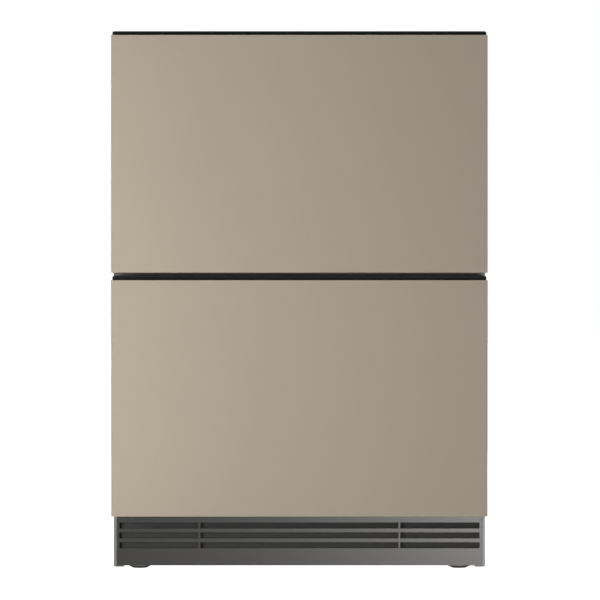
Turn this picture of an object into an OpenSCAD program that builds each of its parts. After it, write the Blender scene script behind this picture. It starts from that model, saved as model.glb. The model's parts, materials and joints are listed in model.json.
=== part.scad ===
// Built-in undercounter refrigerator with two drawers, 24 in wide.
// The drawer fronts face -Y, +X is to the viewer's right, and the floor is z = 0.
// The origin is the middle of the footprint, on the floor. Sizes are in millimetres.

/* [Cabinet] */
// Height from the floor to the top of the cabinet
overall_h = 873; // [865:1:885]
// Width of the cabinet and of the drawer fronts behind their overlay panels
cabinet_w = 605; // [598:1:625]
// Depth of the cabinet behind the drawer fronts
cabinet_d = 541; // [536:1:560]
// Height of the cabinet's underside above the floor
underside_z = 90; // [86:1:94]
// Thickness of the insulated side walls
side_wall_t = 40; // [36:1:42]
// Thickness of the insulated top
top_wall_t = 40; // [36:1:44]
// Thickness of the insulated floor
floor_wall_t = 40; // [36:1:44]
// Thickness of the insulated back wall
back_wall_t = 45; // [40:1:50]
// Thickness of the outer sheet metal
skin_t = 1; // [0.8:0.1:1.4]
// Thickness of the moulded inner liner
liner_t = 1.5; // [1.2:0.1:2]
// Height of the rail between the two drawers
mullion_h = 54; // [48:1:58]
// Depth of the rail between the two drawers
mullion_d = 40; // [30:1:50]

/* [Machine compartment] */
// Depth of the compartment at the cabinet's back
machine_d = 185; // [182:1:195]
// Height of the compartment's roof above the floor
machine_z = 290; // [288:1:300]
// Thickness of the insulation round the compartment
step_wall_t = 38; // [34:1:40]

/* [Base] */
// Height of the base rails above the floor
rail_z = 3.9; // [3:0.1:5]
// Thickness of the base rails
rail_t = 2; // [1.5:0.1:2.5]
// Width of the base rails' front face
rail_face_w = 4.9; // [4.5:0.1:8]
// Width of the base rails' bottom flange
rail_foot_w = 16.4; // [12:0.1:20]
// Width of the base rails' top flange, which carries the cabinet
rail_top_w = 30; // [20:1:38]
// Outer bend radius of the base rails
rail_bend_r = 3; // [2.6:0.1:4]
// Height of the base pan above the floor
pan_z = 12; // [11:0.5:14]
// Thickness of the base pan
pan_t = 1.5; // [1.2:0.1:2]
// Height of the base pan's turned-up edges
pan_edge_h = 25; // [15:1:30]
// Height of the rear cross member
cross_h = 26; // [22:1:30]
// Depth of the rear cross member
cross_d = 15; // [12:1:16]
// Diameter of the two anti-tip screw holes in the cross member
anti_tip_hole_d = 6.6; // [5:0.1:8]
// Spacing of the two anti-tip screw holes
anti_tip_spacing = 400; // [300:10:460]

/* [Rear cover and power inlet] */
// Distance from the cabinet's back to the cover
cover_set_back = 4.5; // [4:0.1:6]
// Thickness of the cover's sheet
cover_sheet_t = 1.5; // [1:0.1:1.8]
// Width of one air slot
vent_w = 64; // [50:1:70]
// Height of one air slot
vent_h = 5; // [3:0.5:6]
// Height from one air slot to the next
vent_pitch = 11; // [8:0.5:12]
// Distance from one column of air slots to the next
vent_column_pitch = 100; // [80:1:120]
// Diameter of the cover's screw heads
screw_head_d = 8; // [6:0.5:9]
// Height of the cover's screw heads
screw_head_h = 2.6; // [2:0.1:3.5]
// Distance of the screws from the cover's edges
screw_inset = 8; // [6:0.5:10]
// Distance of the power inlet from the cabinet's left side
inlet_side = 102.5; // [95:0.5:105]
// Height of the power inlet above the floor
inlet_z = 80; // [75:1:90]
// Diameter of the cord's hole in the gland
gland_bore_d = 8.5; // [6:0.1:10]
// Outer diameter of the gland's body
gland_d = 16; // [13:0.5:20]
// Diameter of the gland's flange and nut
gland_flange_d = 24; // [22:0.5:28]
// Width of the junction box
box_w = 70; // [60:1:74]
// Height of the junction box
box_h = 56; // [44:1:60]
// Depth of the junction box
box_d = 56.5; // [40:0.5:60]
// Thickness of the junction box's sheet
box_t = 2; // [1:0.1:2.5]

/* [Levelling feet] */
// Diameter of the foot's disc
foot_d = 34.5; // [30:0.5:38]
// Diameter of the flat under the foot
foot_flat_d = 22; // [18:0.5:26]
// Height of the foot's disc
foot_disc_h = 7; // [5:0.5:8]
// Width of the foot's hexagon, across its corners
hex_d = 24.15; // [20:0.05:27]
// Diameter of the threaded stem
stem_d = 10; // [8:0.5:12]
// Running clearance round the stem, on the radius
stem_clear = 0.05; // [0.03:0.01:0.08]
// Height of the stem above the disc
stem_l = 50; // [40:1:60]
// Diameter of the threaded bush that takes the stem
bush_d = 20; // [17:0.5:24]
// Height of the threaded bush
bush_h = 15; // [10:1:20]
// Distance from the cabinet's side to the middle of a foot
foot_inset_x = 41; // [36:1:50]
// Distance from the cabinet's front to the middle of a front foot
foot_inset_front = 37; // [34:1:60]
// Distance from the cabinet's back to the middle of a rear foot
foot_inset_back = 38; // [36:1:60]

/* [Toe grille] */
// Height of the grille's lower edge above the floor
grille_z = 6; // [6:0.1:8]
// Thickness of the grille's sheet
grille_t = 1.2; // [1:0.1:1.5]
// Depth of the grille's folded edges
grille_edge_d = 12; // [8:1:14]
// Height of one slot
slot_h = 9.6; // [6:0.1:11]
// Height from one slot to the next
slot_pitch = 16.1; // [13:0.1:16.5]
// Height of the middle row of slots above the floor
slot_mid_z = 55; // [50:1:58]
// Width of the middle column of slots
slot_mid_w = 322.6; // [250:0.1:360]
// Width of the bars between the columns
slot_bar_w = 3.2; // [2:0.1:6]
// Distance from the grille's edge to the outer slots
slot_edge_w = 4; // [3:0.1:10]
// Distance from the grille's face to the filter
filter_set_back = 6; // [4:0.5:10]
// Width of the dark gap at the left of each filter pad
filter_slit_w = 1.7; // [1:0.1:3]

/* [Drawer fronts] */
// How far the overlay panels stand out at each side of the fronts
panel_overhang = 0.7; // [0.3:0.1:1.5]
// Thickness of the overlay panels
panel_t = 19; // [16:0.5:22]
// Height of the lower drawer front's bottom edge above the floor
front_z = 89.6; // [86:0.1:94]
// Height of the lower drawer front
lower_front_h = 388.3; // [380:0.1:396]
// Gap between the two drawer fronts
front_gap = 4.7; // [3:0.1:6]
// Thickness of the insulated front behind the overlay panel
core_t = 40; // [36:1:44]
// Rise of the black cap above the overlay panel
cap_rise = 7.3; // [6.5:0.1:10]
// Height of the cap's lip
cap_lip_h = 3.4; // [2.5:0.1:5]
// Depth of the groove under the cap's lip
cap_groove_d = 6; // [3:0.1:8]
// Height of the whole cap
cap_h = 18; // [15:0.5:24]
// Thickness of the cap's walls
cap_wall_t = 3; // [2:0.1:3.4]
// Radius of the cap's upper corners
cap_corner_r = 4; // [2:0.1:6]
// Depth of the gasket between front and cabinet
gasket_d = 8; // [7:0.1:10]
// Width of the gasket
gasket_w = 16; // [12:0.5:17]
// Free gap between the gasket and the cabinet
seal_gap = 0.3; // [0.2:0.05:0.5]
// Overlap of the gasket over the cabinet's edge round each opening
gasket_lap = 19; // [17:0.5:20]
// Least distance of the gasket from the front's edges
gasket_edge = 2.5; // [1.5:0.1:3.5]
// Depth of the raised middle of the front's inner wall
dam_d = 14; // [10:0.5:18]
// Clearance between the raised middle and the bin's flanges
dam_clear = 2; // [1:0.5:4]

/* [Drawer bins] */
// Clearance between the upper bin and the room's back wall
upper_bin_back_gap = 9; // [6:0.5:30]
// Headroom between the upper bin and the ceiling
upper_bin_headroom = 51.75; // [40:0.25:80]
// Clearance between the lower bin and the step
lower_bin_back_gap = 6; // [5:0.5:30]
// Headroom between the lower bin and the rail above it
lower_bin_headroom = 53.25; // [40:0.25:80]
// Thickness of the bins' sheet
bin_t = 1; // [0.8:0.1:1.2]
// Width of the bins' front flanges
bin_flange_w = 20; // [15:1:25]
// Width of the bins' folded rim
bin_rim_w = 5; // [3:0.5:8]
// Clearance under the bins
bin_clear = 4; // [3:0.5:6]

/* [Drawer slides] */
// Width of a slide, from the liner to the bin
slide_w = 12.7; // [12.2:0.1:13.4]
// Height of a slide
slide_h = 45; // [42:0.5:48]
// Thickness of the slides' steel
slide_t = 1.2; // [1:0.1:1.3]
// Height of each ball race between two members
race_h = 3.5; // [3:0.1:4]
// Side clearance between two members
slide_clear = 2.5; // [2.2:0.1:2.8]
// Height from the bin's bottom to the middle of the slide
slide_up = 36; // [30:1:60]
// Distance from the upper bin's back to the end of its slides
upper_slide_end = 25; // [10:1:60]
// Distance from the lower bin's back to the end of its slides
lower_slide_end = 0; // [-2:1:20]
// Distance from the cabinet's front to the slides
slide_set_back = 12; // [8:1:14]
// Distance from one ball to the next
ball_pitch = 12; // [8:1:16]
// Clearance of the balls in their race
ball_clear = 0.15; // [0.1:0.05:0.25]
// Thickness of the ball cages
cage_t = 0.8; // [0.6:0.1:1]

/* [Compressor] */
// Distance of the compressor's middle from the cabinet's right side
comp_side = 152.5; // [148:0.5:158]
// Clearance in front of and behind the compressor's shell
comp_gap = 7.75; // [5:0.25:12]
// Height of the compressor's shell
comp_h = 150; // [140:1:160]
// Thickness of the compressor's shell
comp_wall_t = 4; // [3:0.5:6]
// Radius of the shell's shoulders
comp_shoulder_r = 35; // [28:1:38]
// Width of the compressor's mounting plate
comp_plate_w = 190; // [185:1:194]
// How much shallower the mounting plate is than the shell
comp_plate_short = 20; // [10:1:35]
// Thickness of the compressor's mounting plate
comp_plate_t = 3; // [2.5:0.1:4]
// Diameter of the rubber mounts
grommet_d = 24; // [20:1:26]
// Height of the rubber mounts under the plate
grommet_h = 12; // [10:0.5:15]
// Distance of the rubber mounts from the plate's edges
grommet_inset = 15; // [13:0.5:17]
// Height of the weld collar round the shell
seam_h = 4; // [3:0.5:6]
// How far the weld collar stands out of the shell
seam_out = 3; // [2:0.5:5]
// Width of the terminal cover
terminal_w = 48; // [40:1:60]
// How far the terminal cover stands out of the shell
terminal_out = 28; // [20:1:32]

/* [Condenser and fan] */
// Diameter of the refrigerant tube
tube_d = 8; // [7:0.1:8.5]
// Diameter of the liquid line
liquid_d = 5; // [4:0.1:6]
// Clearance in front of and behind the condenser
cond_gap = 7.75; // [5:0.25:12]
// Thickness of the condenser, along the air's path
cond_t = 50; // [46:1:52]
// Distance from the condenser's fin pack to the compartment's roof
cond_headroom = 50.5; // [46:0.5:60]
// Height of the condenser's fin pack above the base pan
cond_up = 36; // [30:1:40]
// Number of condenser fins
cond_fins = 20; // [12:1:24]
// Distance of the shroud's plate from the cabinet's left side
shroud_side = 238; // [234:1:242]
// Depth of the shroud, from its plate to the condenser
shroud_d = 36; // [34:1:40]
// Thickness of the shroud
shroud_t = 1.5; // [1:0.1:2]
// Diameter of the condenser fan
cond_fan_d = 142; // [130:1:144]
// Gap between the condenser fan and its ring, on the radius
cond_fan_gap = 4; // [3:0.5:5]
// Length of the condenser fan's hub and blades
cond_fan_l = 22; // [18:0.5:24]
// Diameter of the condenser fan's hub
cond_hub_d = 40; // [34:1:46]
// Diameter of the condenser fan's motor
cond_motor_d = 56; // [50:1:62]
// Length of the condenser fan's motor
cond_motor_l = 34; // [28:1:38]
// Diameter of the condenser fan's shaft
cond_shaft_d = 5; // [4:0.1:6]
// Diameter of the filter drier
drier_d = 20; // [16:0.5:24]
// Length of the filter drier
drier_l = 80; // [60:1:86]

/* [Evaporator and fan] */
// Distance from the evaporator's fin pack to the room's side walls
evap_side_gap = 62.5; // [60:0.5:70]
// Distance from the evaporator's fin pack to the fan above it
evap_fan_clear = 12.25; // [8:0.25:18]
// Distance from the evaporator's fin pack to the room's back wall
evap_back_gap = 38.5; // [34:0.5:44]
// Number of evaporator fins
evap_fins = 21; // [15:1:24]
// Thickness of the evaporator cover
cover_t = 1.5; // [1.2:0.1:2]
// Diameter of the evaporator fan
evap_fan_d = 84; // [76:1:88]
// Length of the evaporator fan's hub and blades
evap_fan_l = 18; // [14:0.5:20]
// Diameter of the evaporator fan's hub
evap_hub_d = 26; // [22:0.5:30]
// Diameter of the evaporator fan's motor
evap_motor_d = 38; // [32:1:42]
// Length of the evaporator fan's motor
evap_motor_l = 26; // [22:1:30]
// Diameter of the evaporator fan's shaft
evap_shaft_d = 4; // [3:0.1:5]
// Outer diameter of the drain tube
drain_d = 16; // [12:0.5:18]
// Wall of the drain tube and of its tray
drain_wall_t = 2; // [1.5:0.1:2.5]
// Height of the tray that catches the melt water
tray_h = 24; // [18:1:30]
// Clearance beside the tray
tray_gap = 5; // [3:0.5:10]
// Distance from the drain tube to the front of the machine compartment
drain_in = 30; // [28:1:34]

/* [Controls and light] */
// Width of the control housing
control_w = 220; // [180:1:260]
// Height of the control housing
control_h = 24; // [22:0.5:26]
// Depth of the control housing
control_d = 54; // [44:1:60]
// Wall of the control housing
control_t = 2; // [1.5:0.1:2.5]
// Diameter of a push button
button_d = 12; // [10:0.5:13]
// Spacing of the push buttons
button_pitch = 30; // [24:1:36]
// How far a push button stands out
button_out = 1.2; // [1:0.1:1.6]
// Travel of a push button
button_travel = 0.8; // [0.6:0.05:1]
// Gap between a sliding or turning piece and its hole, on the radius
running_gap = 0.3; // [0.2:0.05:0.4]
// Distance from the control housing's front to the board
board_set_back = 12; // [11:0.1:14]
// Thickness of the control board
board_t = 1.6; // [1.2:0.1:2]
// Length of a push switch on the board
switch_h = 3.5; // [3:0.1:4]
// Distance from the light bar to the room's side walls
light_side_gap = 42.5; // [20:0.5:70]
// Depth of the light bar
light_d = 22; // [18:0.5:26]
// Height of the light bar's base
light_base_h = 4; // [3:0.5:5]
// Height of the light bar's lens
light_lens_h = 5; // [3:0.5:7]

/* [Hidden] */
$fn = 48;

// Planes across the depth, from the front of the panels to the back of the cabinet.
panel_y = -(panel_t + core_t + gasket_d + cabinet_d) / 2;
core_y = panel_y + panel_t;
seal_y = core_y + core_t;
cab_y = seal_y + gasket_d;
back_y = cab_y + cabinet_d;

// The cabinet's half width, and the room inside its insulated walls.
half_w = cabinet_w / 2;
panel_x = half_w + panel_overhang;
room_x = half_w - side_wall_t;
room_back_y = back_y - back_wall_t;
ceiling_z = overall_h - top_wall_t;
floor_z = underside_z + floor_wall_t;

// The machine compartment, and the step that it makes in the room.
machine_y = back_y - machine_d;
step_y = machine_y - step_wall_t;
step_z = machine_z + step_wall_t;
cover_y = back_y - cover_set_back;
cover_inner_y = cover_y - cover_sheet_t;
cross_y = cover_y - cross_d;
machine_mid_y = (machine_y + cross_y) / 2;
pan_top_z = pan_z + pan_t;

// Heights of the drawer fronts and of the rail between them.
upper_front_z = front_z + lower_front_h + front_gap;
mullion_z = upper_front_z - front_gap / 2 - mullion_h / 2;
mullion_top_z = mullion_z + mullion_h;

// Backs of the two bins.
upper_bin_y = room_back_y - upper_bin_back_gap;
lower_bin_y = step_y - lower_bin_back_gap;
slide_y = cab_y + slide_set_back;

// Each drawer: [front's lower edge, front's upper edge, bin's bottom, bin's top, bin's back, slides' end,
// opening's lower edge, opening's upper edge].
upper = [upper_front_z, overall_h, mullion_top_z + bin_clear, ceiling_z - upper_bin_headroom, upper_bin_y,
    upper_bin_y - upper_slide_end, mullion_top_z, ceiling_z];
lower = [front_z, front_z + lower_front_h, floor_z + bin_clear, mullion_z - lower_bin_headroom, lower_bin_y,
    lower_bin_y - lower_slide_end, floor_z, mullion_z];
function front_low(drawer) = drawer[0];
function front_top(drawer) = drawer[1];
function bin_low(drawer) = drawer[2];
function bin_top(drawer) = drawer[3];
function bin_back(drawer) = drawer[4];
function slide_l(drawer) = drawer[5] - slide_y;
function slide_z(drawer) = drawer[2] + slide_up;
function opening_low(drawer) = drawer[6];
function opening_top(drawer) = drawer[7];

// Bins and slides fill the room's width. A member's flanges end just short of the next member's web.
tip_gap = 0.5;
web_step = slide_t + slide_clear;
bin_x = room_x - slide_w;
dam_x = bin_x - bin_flange_w - dam_clear;
middle_h = slide_h - 2 * (slide_t + race_h);
inner_h = middle_h - 2 * (slide_t + race_h);

// Base: the cover and cross member close the back, and the feet stand near the corners.
base_x = half_w - rail_t;
cross_top_z = pan_top_z + cross_h;
pan_front_gap = 4;
pan_front_y = cab_y + grille_edge_d + pan_front_gap;
foot_x = half_w - foot_inset_x;
foot_front_y = cab_y + foot_inset_front;
foot_rear_y = back_y - foot_inset_back;

// Toe grille: it fills the space between the rails' faces, up to the cabinet.
grille_gap = 0.2;
grille_x = half_w - rail_face_w - grille_gap;
grille_top_z = underside_z - rail_t - grille_gap;
slot_columns = [
    [-grille_x + slot_edge_w, -slot_mid_w / 2 - slot_bar_w],
    [-slot_mid_w / 2, slot_mid_w / 2],
    [slot_mid_w / 2 + slot_bar_w, grille_x - slot_edge_w]
];
filter_y = cab_y + filter_set_back;

// Power inlet: the junction box lies on the rear cover's inside, and a nut holds the gland in it.
inlet_x = half_w - inlet_side;
box_low = [-inlet_x - box_w / 2, cover_inner_y - box_d, inlet_z - box_h / 2];
box_high = [-inlet_x + box_w / 2, cover_inner_y, inlet_z + box_h / 2];
nut_h = 6;
nut_y = cover_inner_y - box_t - running_gap;
gland_past_nut = 4;
gland_end_y = nut_y - nut_h - gland_past_nut;

// Both fans: their blades, and the arms and posts that carry their motors.
fan_blades = 5;
blade_t = 1.6;
blade_inset = 1;
blade_angle = 38;
arm_w = 8;
arm_t = 3;
post_d = 10;
post_out = 8;
motor_gap = 4;
motor_end_t = 6;
motor_bore_clear = 0.05;
function shaft_depth(motor_l) = motor_l - motor_end_t;

// Compressor on its rubber mounts.
comp_x = half_w - comp_side;
comp_d = cross_y - machine_y - 2 * comp_gap;
comp_plate_d = comp_d - comp_plate_short;
comp_z = pan_top_z + grommet_h + comp_plate_t;
comp_top_z = comp_z + comp_h;
comp_r = comp_d / 2;
mount_dx = comp_plate_w / 2 - grommet_inset;
mount_dy = comp_plate_d / 2 - grommet_inset;
grommet_lip = 5;
grommet_neck_d = grommet_d - 2 * grommet_lip;
grommet_head_d = grommet_d - grommet_lip;
grommet_head_h = 3;

// Condenser, to the left of its fan. Its tubes stand upright, six in each of two rows.
cond_tubes = 6;
cond_pitch = (cross_y - machine_y - 2 * cond_gap) / cond_tubes;
shroud_x = half_w - shroud_side;
cond_x1 = -shroud_x - shroud_d;
cond_x0 = cond_x1 - cond_t;
cond_y0 = machine_mid_y - cond_pitch * cond_tubes / 2;
cond_y1 = machine_mid_y + cond_pitch * cond_tubes / 2;
cond_z = pan_top_z + cond_up;
cond_h = machine_z - cond_headroom - cond_z;
cond_top_z = cond_z + cond_h;
cond_row_x = [cond_x1 - cond_t / 4, cond_x0 + cond_t / 4];
cond_fan_z = cond_z + cond_h / 2;
cond_motor_x = -shroud_x + cond_fan_l / 2 + motor_gap;
cond_tube_out = 4;
end_t = 1.5;
fin_t = 0.8;

// Evaporator on the step, behind its cover. Four tubes deep and two high.
evap_tubes = 4;
evap_cover_in = 4;
evap_cover_drop = 7;
evap_front_gap = 14;
evap_foot_h = 10;
evap_post_gap = 4;
cover_y0 = step_y + evap_cover_in;
cover_top_z = mullion_top_z - evap_cover_drop;
evap_y0 = cover_y0 + cover_t + evap_front_gap;
evap_z0 = step_z + evap_foot_h;
evap_fan_z = cover_top_z - evap_fan_d / 2 - post_out - evap_post_gap;
evap_fan_y = cover_y0 + cover_t + motor_gap;
evap_w = 2 * (room_x - evap_side_gap);
evap_d = room_back_y - evap_back_gap - evap_y0;
evap_h = evap_fan_z - evap_fan_d / 2 - evap_fan_clear - evap_z0;
evap_pitch = evap_d / evap_tubes;
tube_out = 5;
evap_row_z = [evap_z0 + evap_h / 4, evap_z0 + evap_h * 3 / 4];
evap_tube_y = [for (i = [0 : evap_tubes - 1]) evap_y0 + evap_d / 2 + (i - (evap_tubes - 1) / 2) * evap_pitch];

// Where the lines and the drain pass through the step's insulation. The drain comes down midway between
// the fan motor's arms and the compressor's plate.
suction_out = 32;
liquid_out = 44;
liquid_in = 6;
suction_x = evap_w / 2 + suction_out;
liquid_x = evap_w / 2 + liquid_out;
liquid_y = cond_y0 + liquid_in;
drain_x = (cond_motor_x + arm_t + comp_x - comp_plate_w / 2) / 2;
drain_y = machine_y + drain_in;
pass_clear = 0.2;
passes = [
    [suction_x, evap_tube_y[3], tube_d],
    [liquid_x, liquid_y, liquid_d],
    [drain_x, drain_y, drain_d]
];

// Control housing under the ceiling, and the board that its buttons press.
control_in = 4;
light_gap = 12;
control_y = cab_y + control_in;
control_z = ceiling_z - control_h;
button_z = ceiling_z - control_h / 2;
button_flange_t = 1;
button_flange_w = 1.5;
board_y = control_y + board_set_back;
switch_d = 6;
stem_gap = 0.05;
light_x = room_x - light_side_gap;
light_y = control_y + control_d + light_gap;
lens_z = ceiling_z - light_base_h;
lens_inset = 3;

module block(low, high) {
    translate(low) cube(high - low);
}

module both_sides() {
    children();
    mirror([1, 0, 0]) children();
}

// Stretches a drawing of X and Z from y0 to y1.
module along_y(y0, y1) {
    translate([0, y1, 0]) rotate([90, 0, 0]) linear_extrude(y1 - y0) children();
}

// Stretches a drawing of Y and Z from x0 to x1.
module along_x(x0, x1) {
    translate([x0, 0, 0]) rotate([90, 0, 90]) linear_extrude(x1 - x0) children();
}

// A cylinder along +Y or +X from its start.
module rod_y(at, d, l) {
    translate(at) rotate([-90, 0, 0]) cylinder(d = d, h = l);
}

module rod_x(at, d, l) {
    translate(at) rotate([0, 90, 0]) cylinder(d = d, h = l);
}

// A rectangle from its lowest to its highest corner.
module area(low, high) {
    translate(low) square(high - low);
}

// A quarter disc in the quadrant that dir points to, such as [1, -1].
module quarter_disc(at, r, dir) {
    translate(at) intersection() {
        circle(r = r);
        translate([dir.x < 0 ? -r : 0, dir.y < 0 ? -r : 0]) square(r);
    }
}

// A tube through points that turn only by right angles, with round bends.
module tube_run(points, d, bend) {
    last = len(points) - 1;
    for (i = [0 : last - 1]) {
        dir = (points[i + 1] - points[i]) / norm(points[i + 1] - points[i]);
        from = points[i] + (i == 0 ? 0 : bend) * dir;
        to = points[i + 1] - (i == last - 1 ? 0 : bend) * dir;
        tube_leg(from, to, d);
    }
    for (i = [1 : last - 1]) {
        before = (points[i] - points[i - 1]) / norm(points[i] - points[i - 1]);
        after = (points[i + 1] - points[i]) / norm(points[i + 1] - points[i]);
        tube_bend(points[i] + bend * (after - before), -after, before, d, bend, 90);
    }
}

// A straight tube between two points that differ along one axis.
module tube_leg(from, to, d) {
    run = to - from;
    turn = abs(run.x) > 0.01 ? [0, 90, 0] : abs(run.y) > 0.01 ? [-90, 0, 0] : [0, 0, 0];
    low = [min(from.x, to.x), min(from.y, to.y), min(from.z, to.z)];
    translate(low) rotate(turn) cylinder(d = d, h = norm(run));
}

// Part of a ring round centre: it starts in direction side and turns towards ahead.
module tube_bend(centre, side, ahead, d, bend, angle) {
    up = cross(side, ahead);
    multmatrix([
        [side.x, ahead.x, up.x, centre.x],
        [side.y, ahead.y, up.y, centre.y],
        [side.z, ahead.z, up.z, centre.z],
        [0, 0, 0, 1]
    ])
    rotate_extrude(angle = angle) translate([bend, 0]) circle(d = d);
}

// Cabinet

module side_panel(side) {
    x0 = side < 0 ? -half_w : half_w - skin_t;
    flange_x = side < 0 ? -half_w + skin_t : room_x;
    flange_w = side_wall_t - skin_t;
    top_z = overall_h - skin_t;
    color("dimgray") {
        block([x0, cab_y, underside_z], [x0 + skin_t, back_y, top_z]);
        block([flange_x, cab_y, underside_z], [flange_x + flange_w, cab_y + skin_t, top_z]);
    }
}

module side_panel_left() {
    side_panel(-1);
}

module side_panel_right() {
    side_panel(1);
}

module top_panel() {
    color("dimgray") {
        block([-half_w, cab_y, overall_h - skin_t], [half_w, back_y, overall_h]);
        block([-room_x, cab_y, ceiling_z], [room_x, cab_y + skin_t, overall_h - skin_t]);
    }
}

module back_panel() {
    color("silver")
    block([-half_w + skin_t, back_y - skin_t, machine_z + skin_t],
          [half_w - skin_t, back_y, overall_h - skin_t]);
}

module floor_panel() {
    color("silver") {
        block([-half_w + skin_t, cab_y + skin_t, underside_z],
              [half_w - skin_t, machine_y, underside_z + skin_t]);
        block([-room_x, cab_y, underside_z], [room_x, cab_y + skin_t, floor_z]);
    }
}

module machine_housing() {
    color("silver")
    difference() {
        along_x(-half_w + skin_t, half_w - skin_t) {
            area([machine_y - skin_t, underside_z + skin_t], [machine_y, machine_z + skin_t]);
            area([machine_y, machine_z], [back_y, machine_z + skin_t]);
        }
        pass_holes(machine_z - 1, machine_z + skin_t + 1);
    }
}

module pass_holes(z0, z1) {
    for (pass = passes) {
        translate([pass[0], pass[1], z0]) cylinder(d = pass[2] + 2 * pass_clear, h = z1 - z0);
    }
}

// The room's side view, grown outwards by grow, and open at the front.
module room_outline(grow) {
    polygon([
        [cab_y + skin_t, floor_z - grow],
        [step_y + grow, floor_z - grow],
        [step_y + grow, step_z - grow],
        [room_back_y + grow, step_z - grow],
        [room_back_y + grow, ceiling_z + grow],
        [cab_y + skin_t, ceiling_z + grow]
    ]);
}

module insulation() {
    color("khaki")
    difference() {
        along_x(-half_w + skin_t, half_w - skin_t) polygon([
            [cab_y + skin_t, underside_z + skin_t],
            [machine_y - skin_t, underside_z + skin_t],
            [machine_y - skin_t, machine_z + skin_t],
            [back_y - skin_t, machine_z + skin_t],
            [back_y - skin_t, overall_h - skin_t],
            [cab_y + skin_t, overall_h - skin_t]
        ]);
        along_x(-room_x - liner_t, room_x + liner_t) room_outline(liner_t);
        pass_holes(machine_z, step_z);
    }
}

module inner_liner() {
    color("whitesmoke")
    difference() {
        along_x(-room_x - liner_t, room_x + liner_t) room_outline(liner_t);
        along_x(-room_x, room_x) room_outline(0);
        pass_holes(step_z - liner_t - 1, step_z + 1);
    }
}

// The rail between the drawers: a channel open to the back.
module mullion() {
    color("dimgray")
    along_x(-room_x, room_x) {
        area([cab_y, mullion_z], [cab_y + skin_t, mullion_top_z]);
        area([cab_y + skin_t, mullion_z], [cab_y + mullion_d, mullion_z + skin_t]);
        area([cab_y + skin_t, mullion_top_z - skin_t], [cab_y + mullion_d, mullion_top_z]);
    }
}

// Drawer slides: three channels, one inside the other, with ball races above and below.

// A channel whose web starts at x0, with flanges reaching to x1, on either side of it.
module channel(x0, x1, h) {
    web_x = x0 < x1 ? x0 : x0 - slide_t;
    flange_x0 = min(x0, x1);
    flange_x1 = max(x0, x1);
    area([web_x, -h / 2], [web_x + slide_t, h / 2]);
    area([flange_x0, -h / 2], [flange_x1, -h / 2 + slide_t]);
    area([flange_x0, h / 2 - slide_t], [flange_x1, h / 2]);
}

module slide_pair(drawer) {
    both_sides()
    translate([0, 0, slide_z(drawer)])
    along_y(slide_y, slide_y + slide_l(drawer)) children();
}

module outer_channel() {
    channel(room_x, bin_x + slide_clear, slide_h);
}

module middle_channel() {
    channel(room_x - web_step, bin_x + slide_t + tip_gap, middle_h);
}

module inner_channel() {
    channel(bin_x, room_x - 2 * web_step + tip_gap, inner_h);
}

module outer_slide_rails() {
    color("silver") {
        slide_pair(upper) outer_channel();
        slide_pair(lower) outer_channel();
    }
}

// A strip of balls above and below a member, joined by a web that lies on the member's own web.
module ball_cage(x0, x1, web_x, race_z, y, l) {
    balls = floor((l - ball_pitch) / ball_pitch);
    first_y = y + (l - balls * ball_pitch) / 2;
    for (side = [-1, 1]) {
        z = side * race_z;
        block([x0, y, z - cage_t / 2], [x1, y + l, z + cage_t / 2]);
        for (i = [0 : balls]) {
            translate([(x0 + x1) / 2, first_y + i * ball_pitch, z]) sphere(r = race_h / 2 - ball_clear);
        }
    }
    block([web_x, y, -race_z + cage_t / 2], [web_x + cage_t, y + l, race_z - cage_t / 2]);
}

// The middle members carry the balls of both races, the outer ones at their back and the inner ones
// at their front.
module middle_rails(drawer) {
    web_x = room_x - web_step;
    back_web_x = web_x - slide_t;
    outer_race_z = (middle_h + race_h) / 2;
    inner_race_z = (inner_h + race_h) / 2;
    outer_x = bin_x + slide_clear + tip_gap;
    inner_x = bin_x + slide_t + tip_gap;
    cage_l = slide_l(drawer) / 4;
    outer_y = slide_y + slide_l(drawer) - cage_l;
    slide_pair(drawer) middle_channel();
    both_sides()
    translate([0, 0, slide_z(drawer)]) {
        ball_cage(outer_x, web_x + cage_t, web_x, outer_race_z, outer_y, cage_l);
        ball_cage(inner_x, back_web_x, back_web_x - cage_t, inner_race_z, slide_y, cage_l);
    }
}

module upper_middle_rails() {
    color("lightgray") middle_rails(upper);
}

module lower_middle_rails() {
    color("lightgray") middle_rails(lower);
}

module upper_inner_rails() {
    color("silver") slide_pair(upper) inner_channel();
}

module lower_inner_rails() {
    color("silver") slide_pair(lower) inner_channel();
}

// Drawer fronts

module overlay_panel(drawer) {
    color("tan")
    block([-panel_x, panel_y, front_low(drawer)], [panel_x, core_y, front_top(drawer) - cap_rise]);
}

// The black cap along the front's top edge. A shadow groove runs under its lip, above the overlay panel.
module top_cap(drawer) {
    top = front_top(drawer);
    groove_top = top - cap_lip_h;
    groove_low = top - cap_rise;
    back_wall_y = seal_y - cap_wall_t;
    color("black")
    difference() {
        along_x(-half_w, half_w) difference() {
            area([core_y, top - cap_h], [seal_y, top]);
            area([core_y - 1, groove_low], [core_y + cap_groove_d, groove_top]);
            area([core_y - 1, top - cap_h - 1], [core_y + skin_t, groove_low]);
        }
        along_x(-half_w + cap_wall_t, half_w - cap_wall_t) {
            area([core_y + cap_groove_d + cap_wall_t, top - cap_h - 1], [back_wall_y, top - cap_wall_t]);
            area([core_y + skin_t + cap_wall_t, top - cap_h - 1], [back_wall_y, groove_low - cap_wall_t]);
        }
        both_sides()
        along_y(core_y - 1, seal_y + 1) difference() {
            area([half_w - cap_corner_r, top - cap_corner_r], [half_w + 1, top + 1]);
            translate([half_w - cap_corner_r, top - cap_corner_r]) circle(r = cap_corner_r);
        }
    }
}

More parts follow.
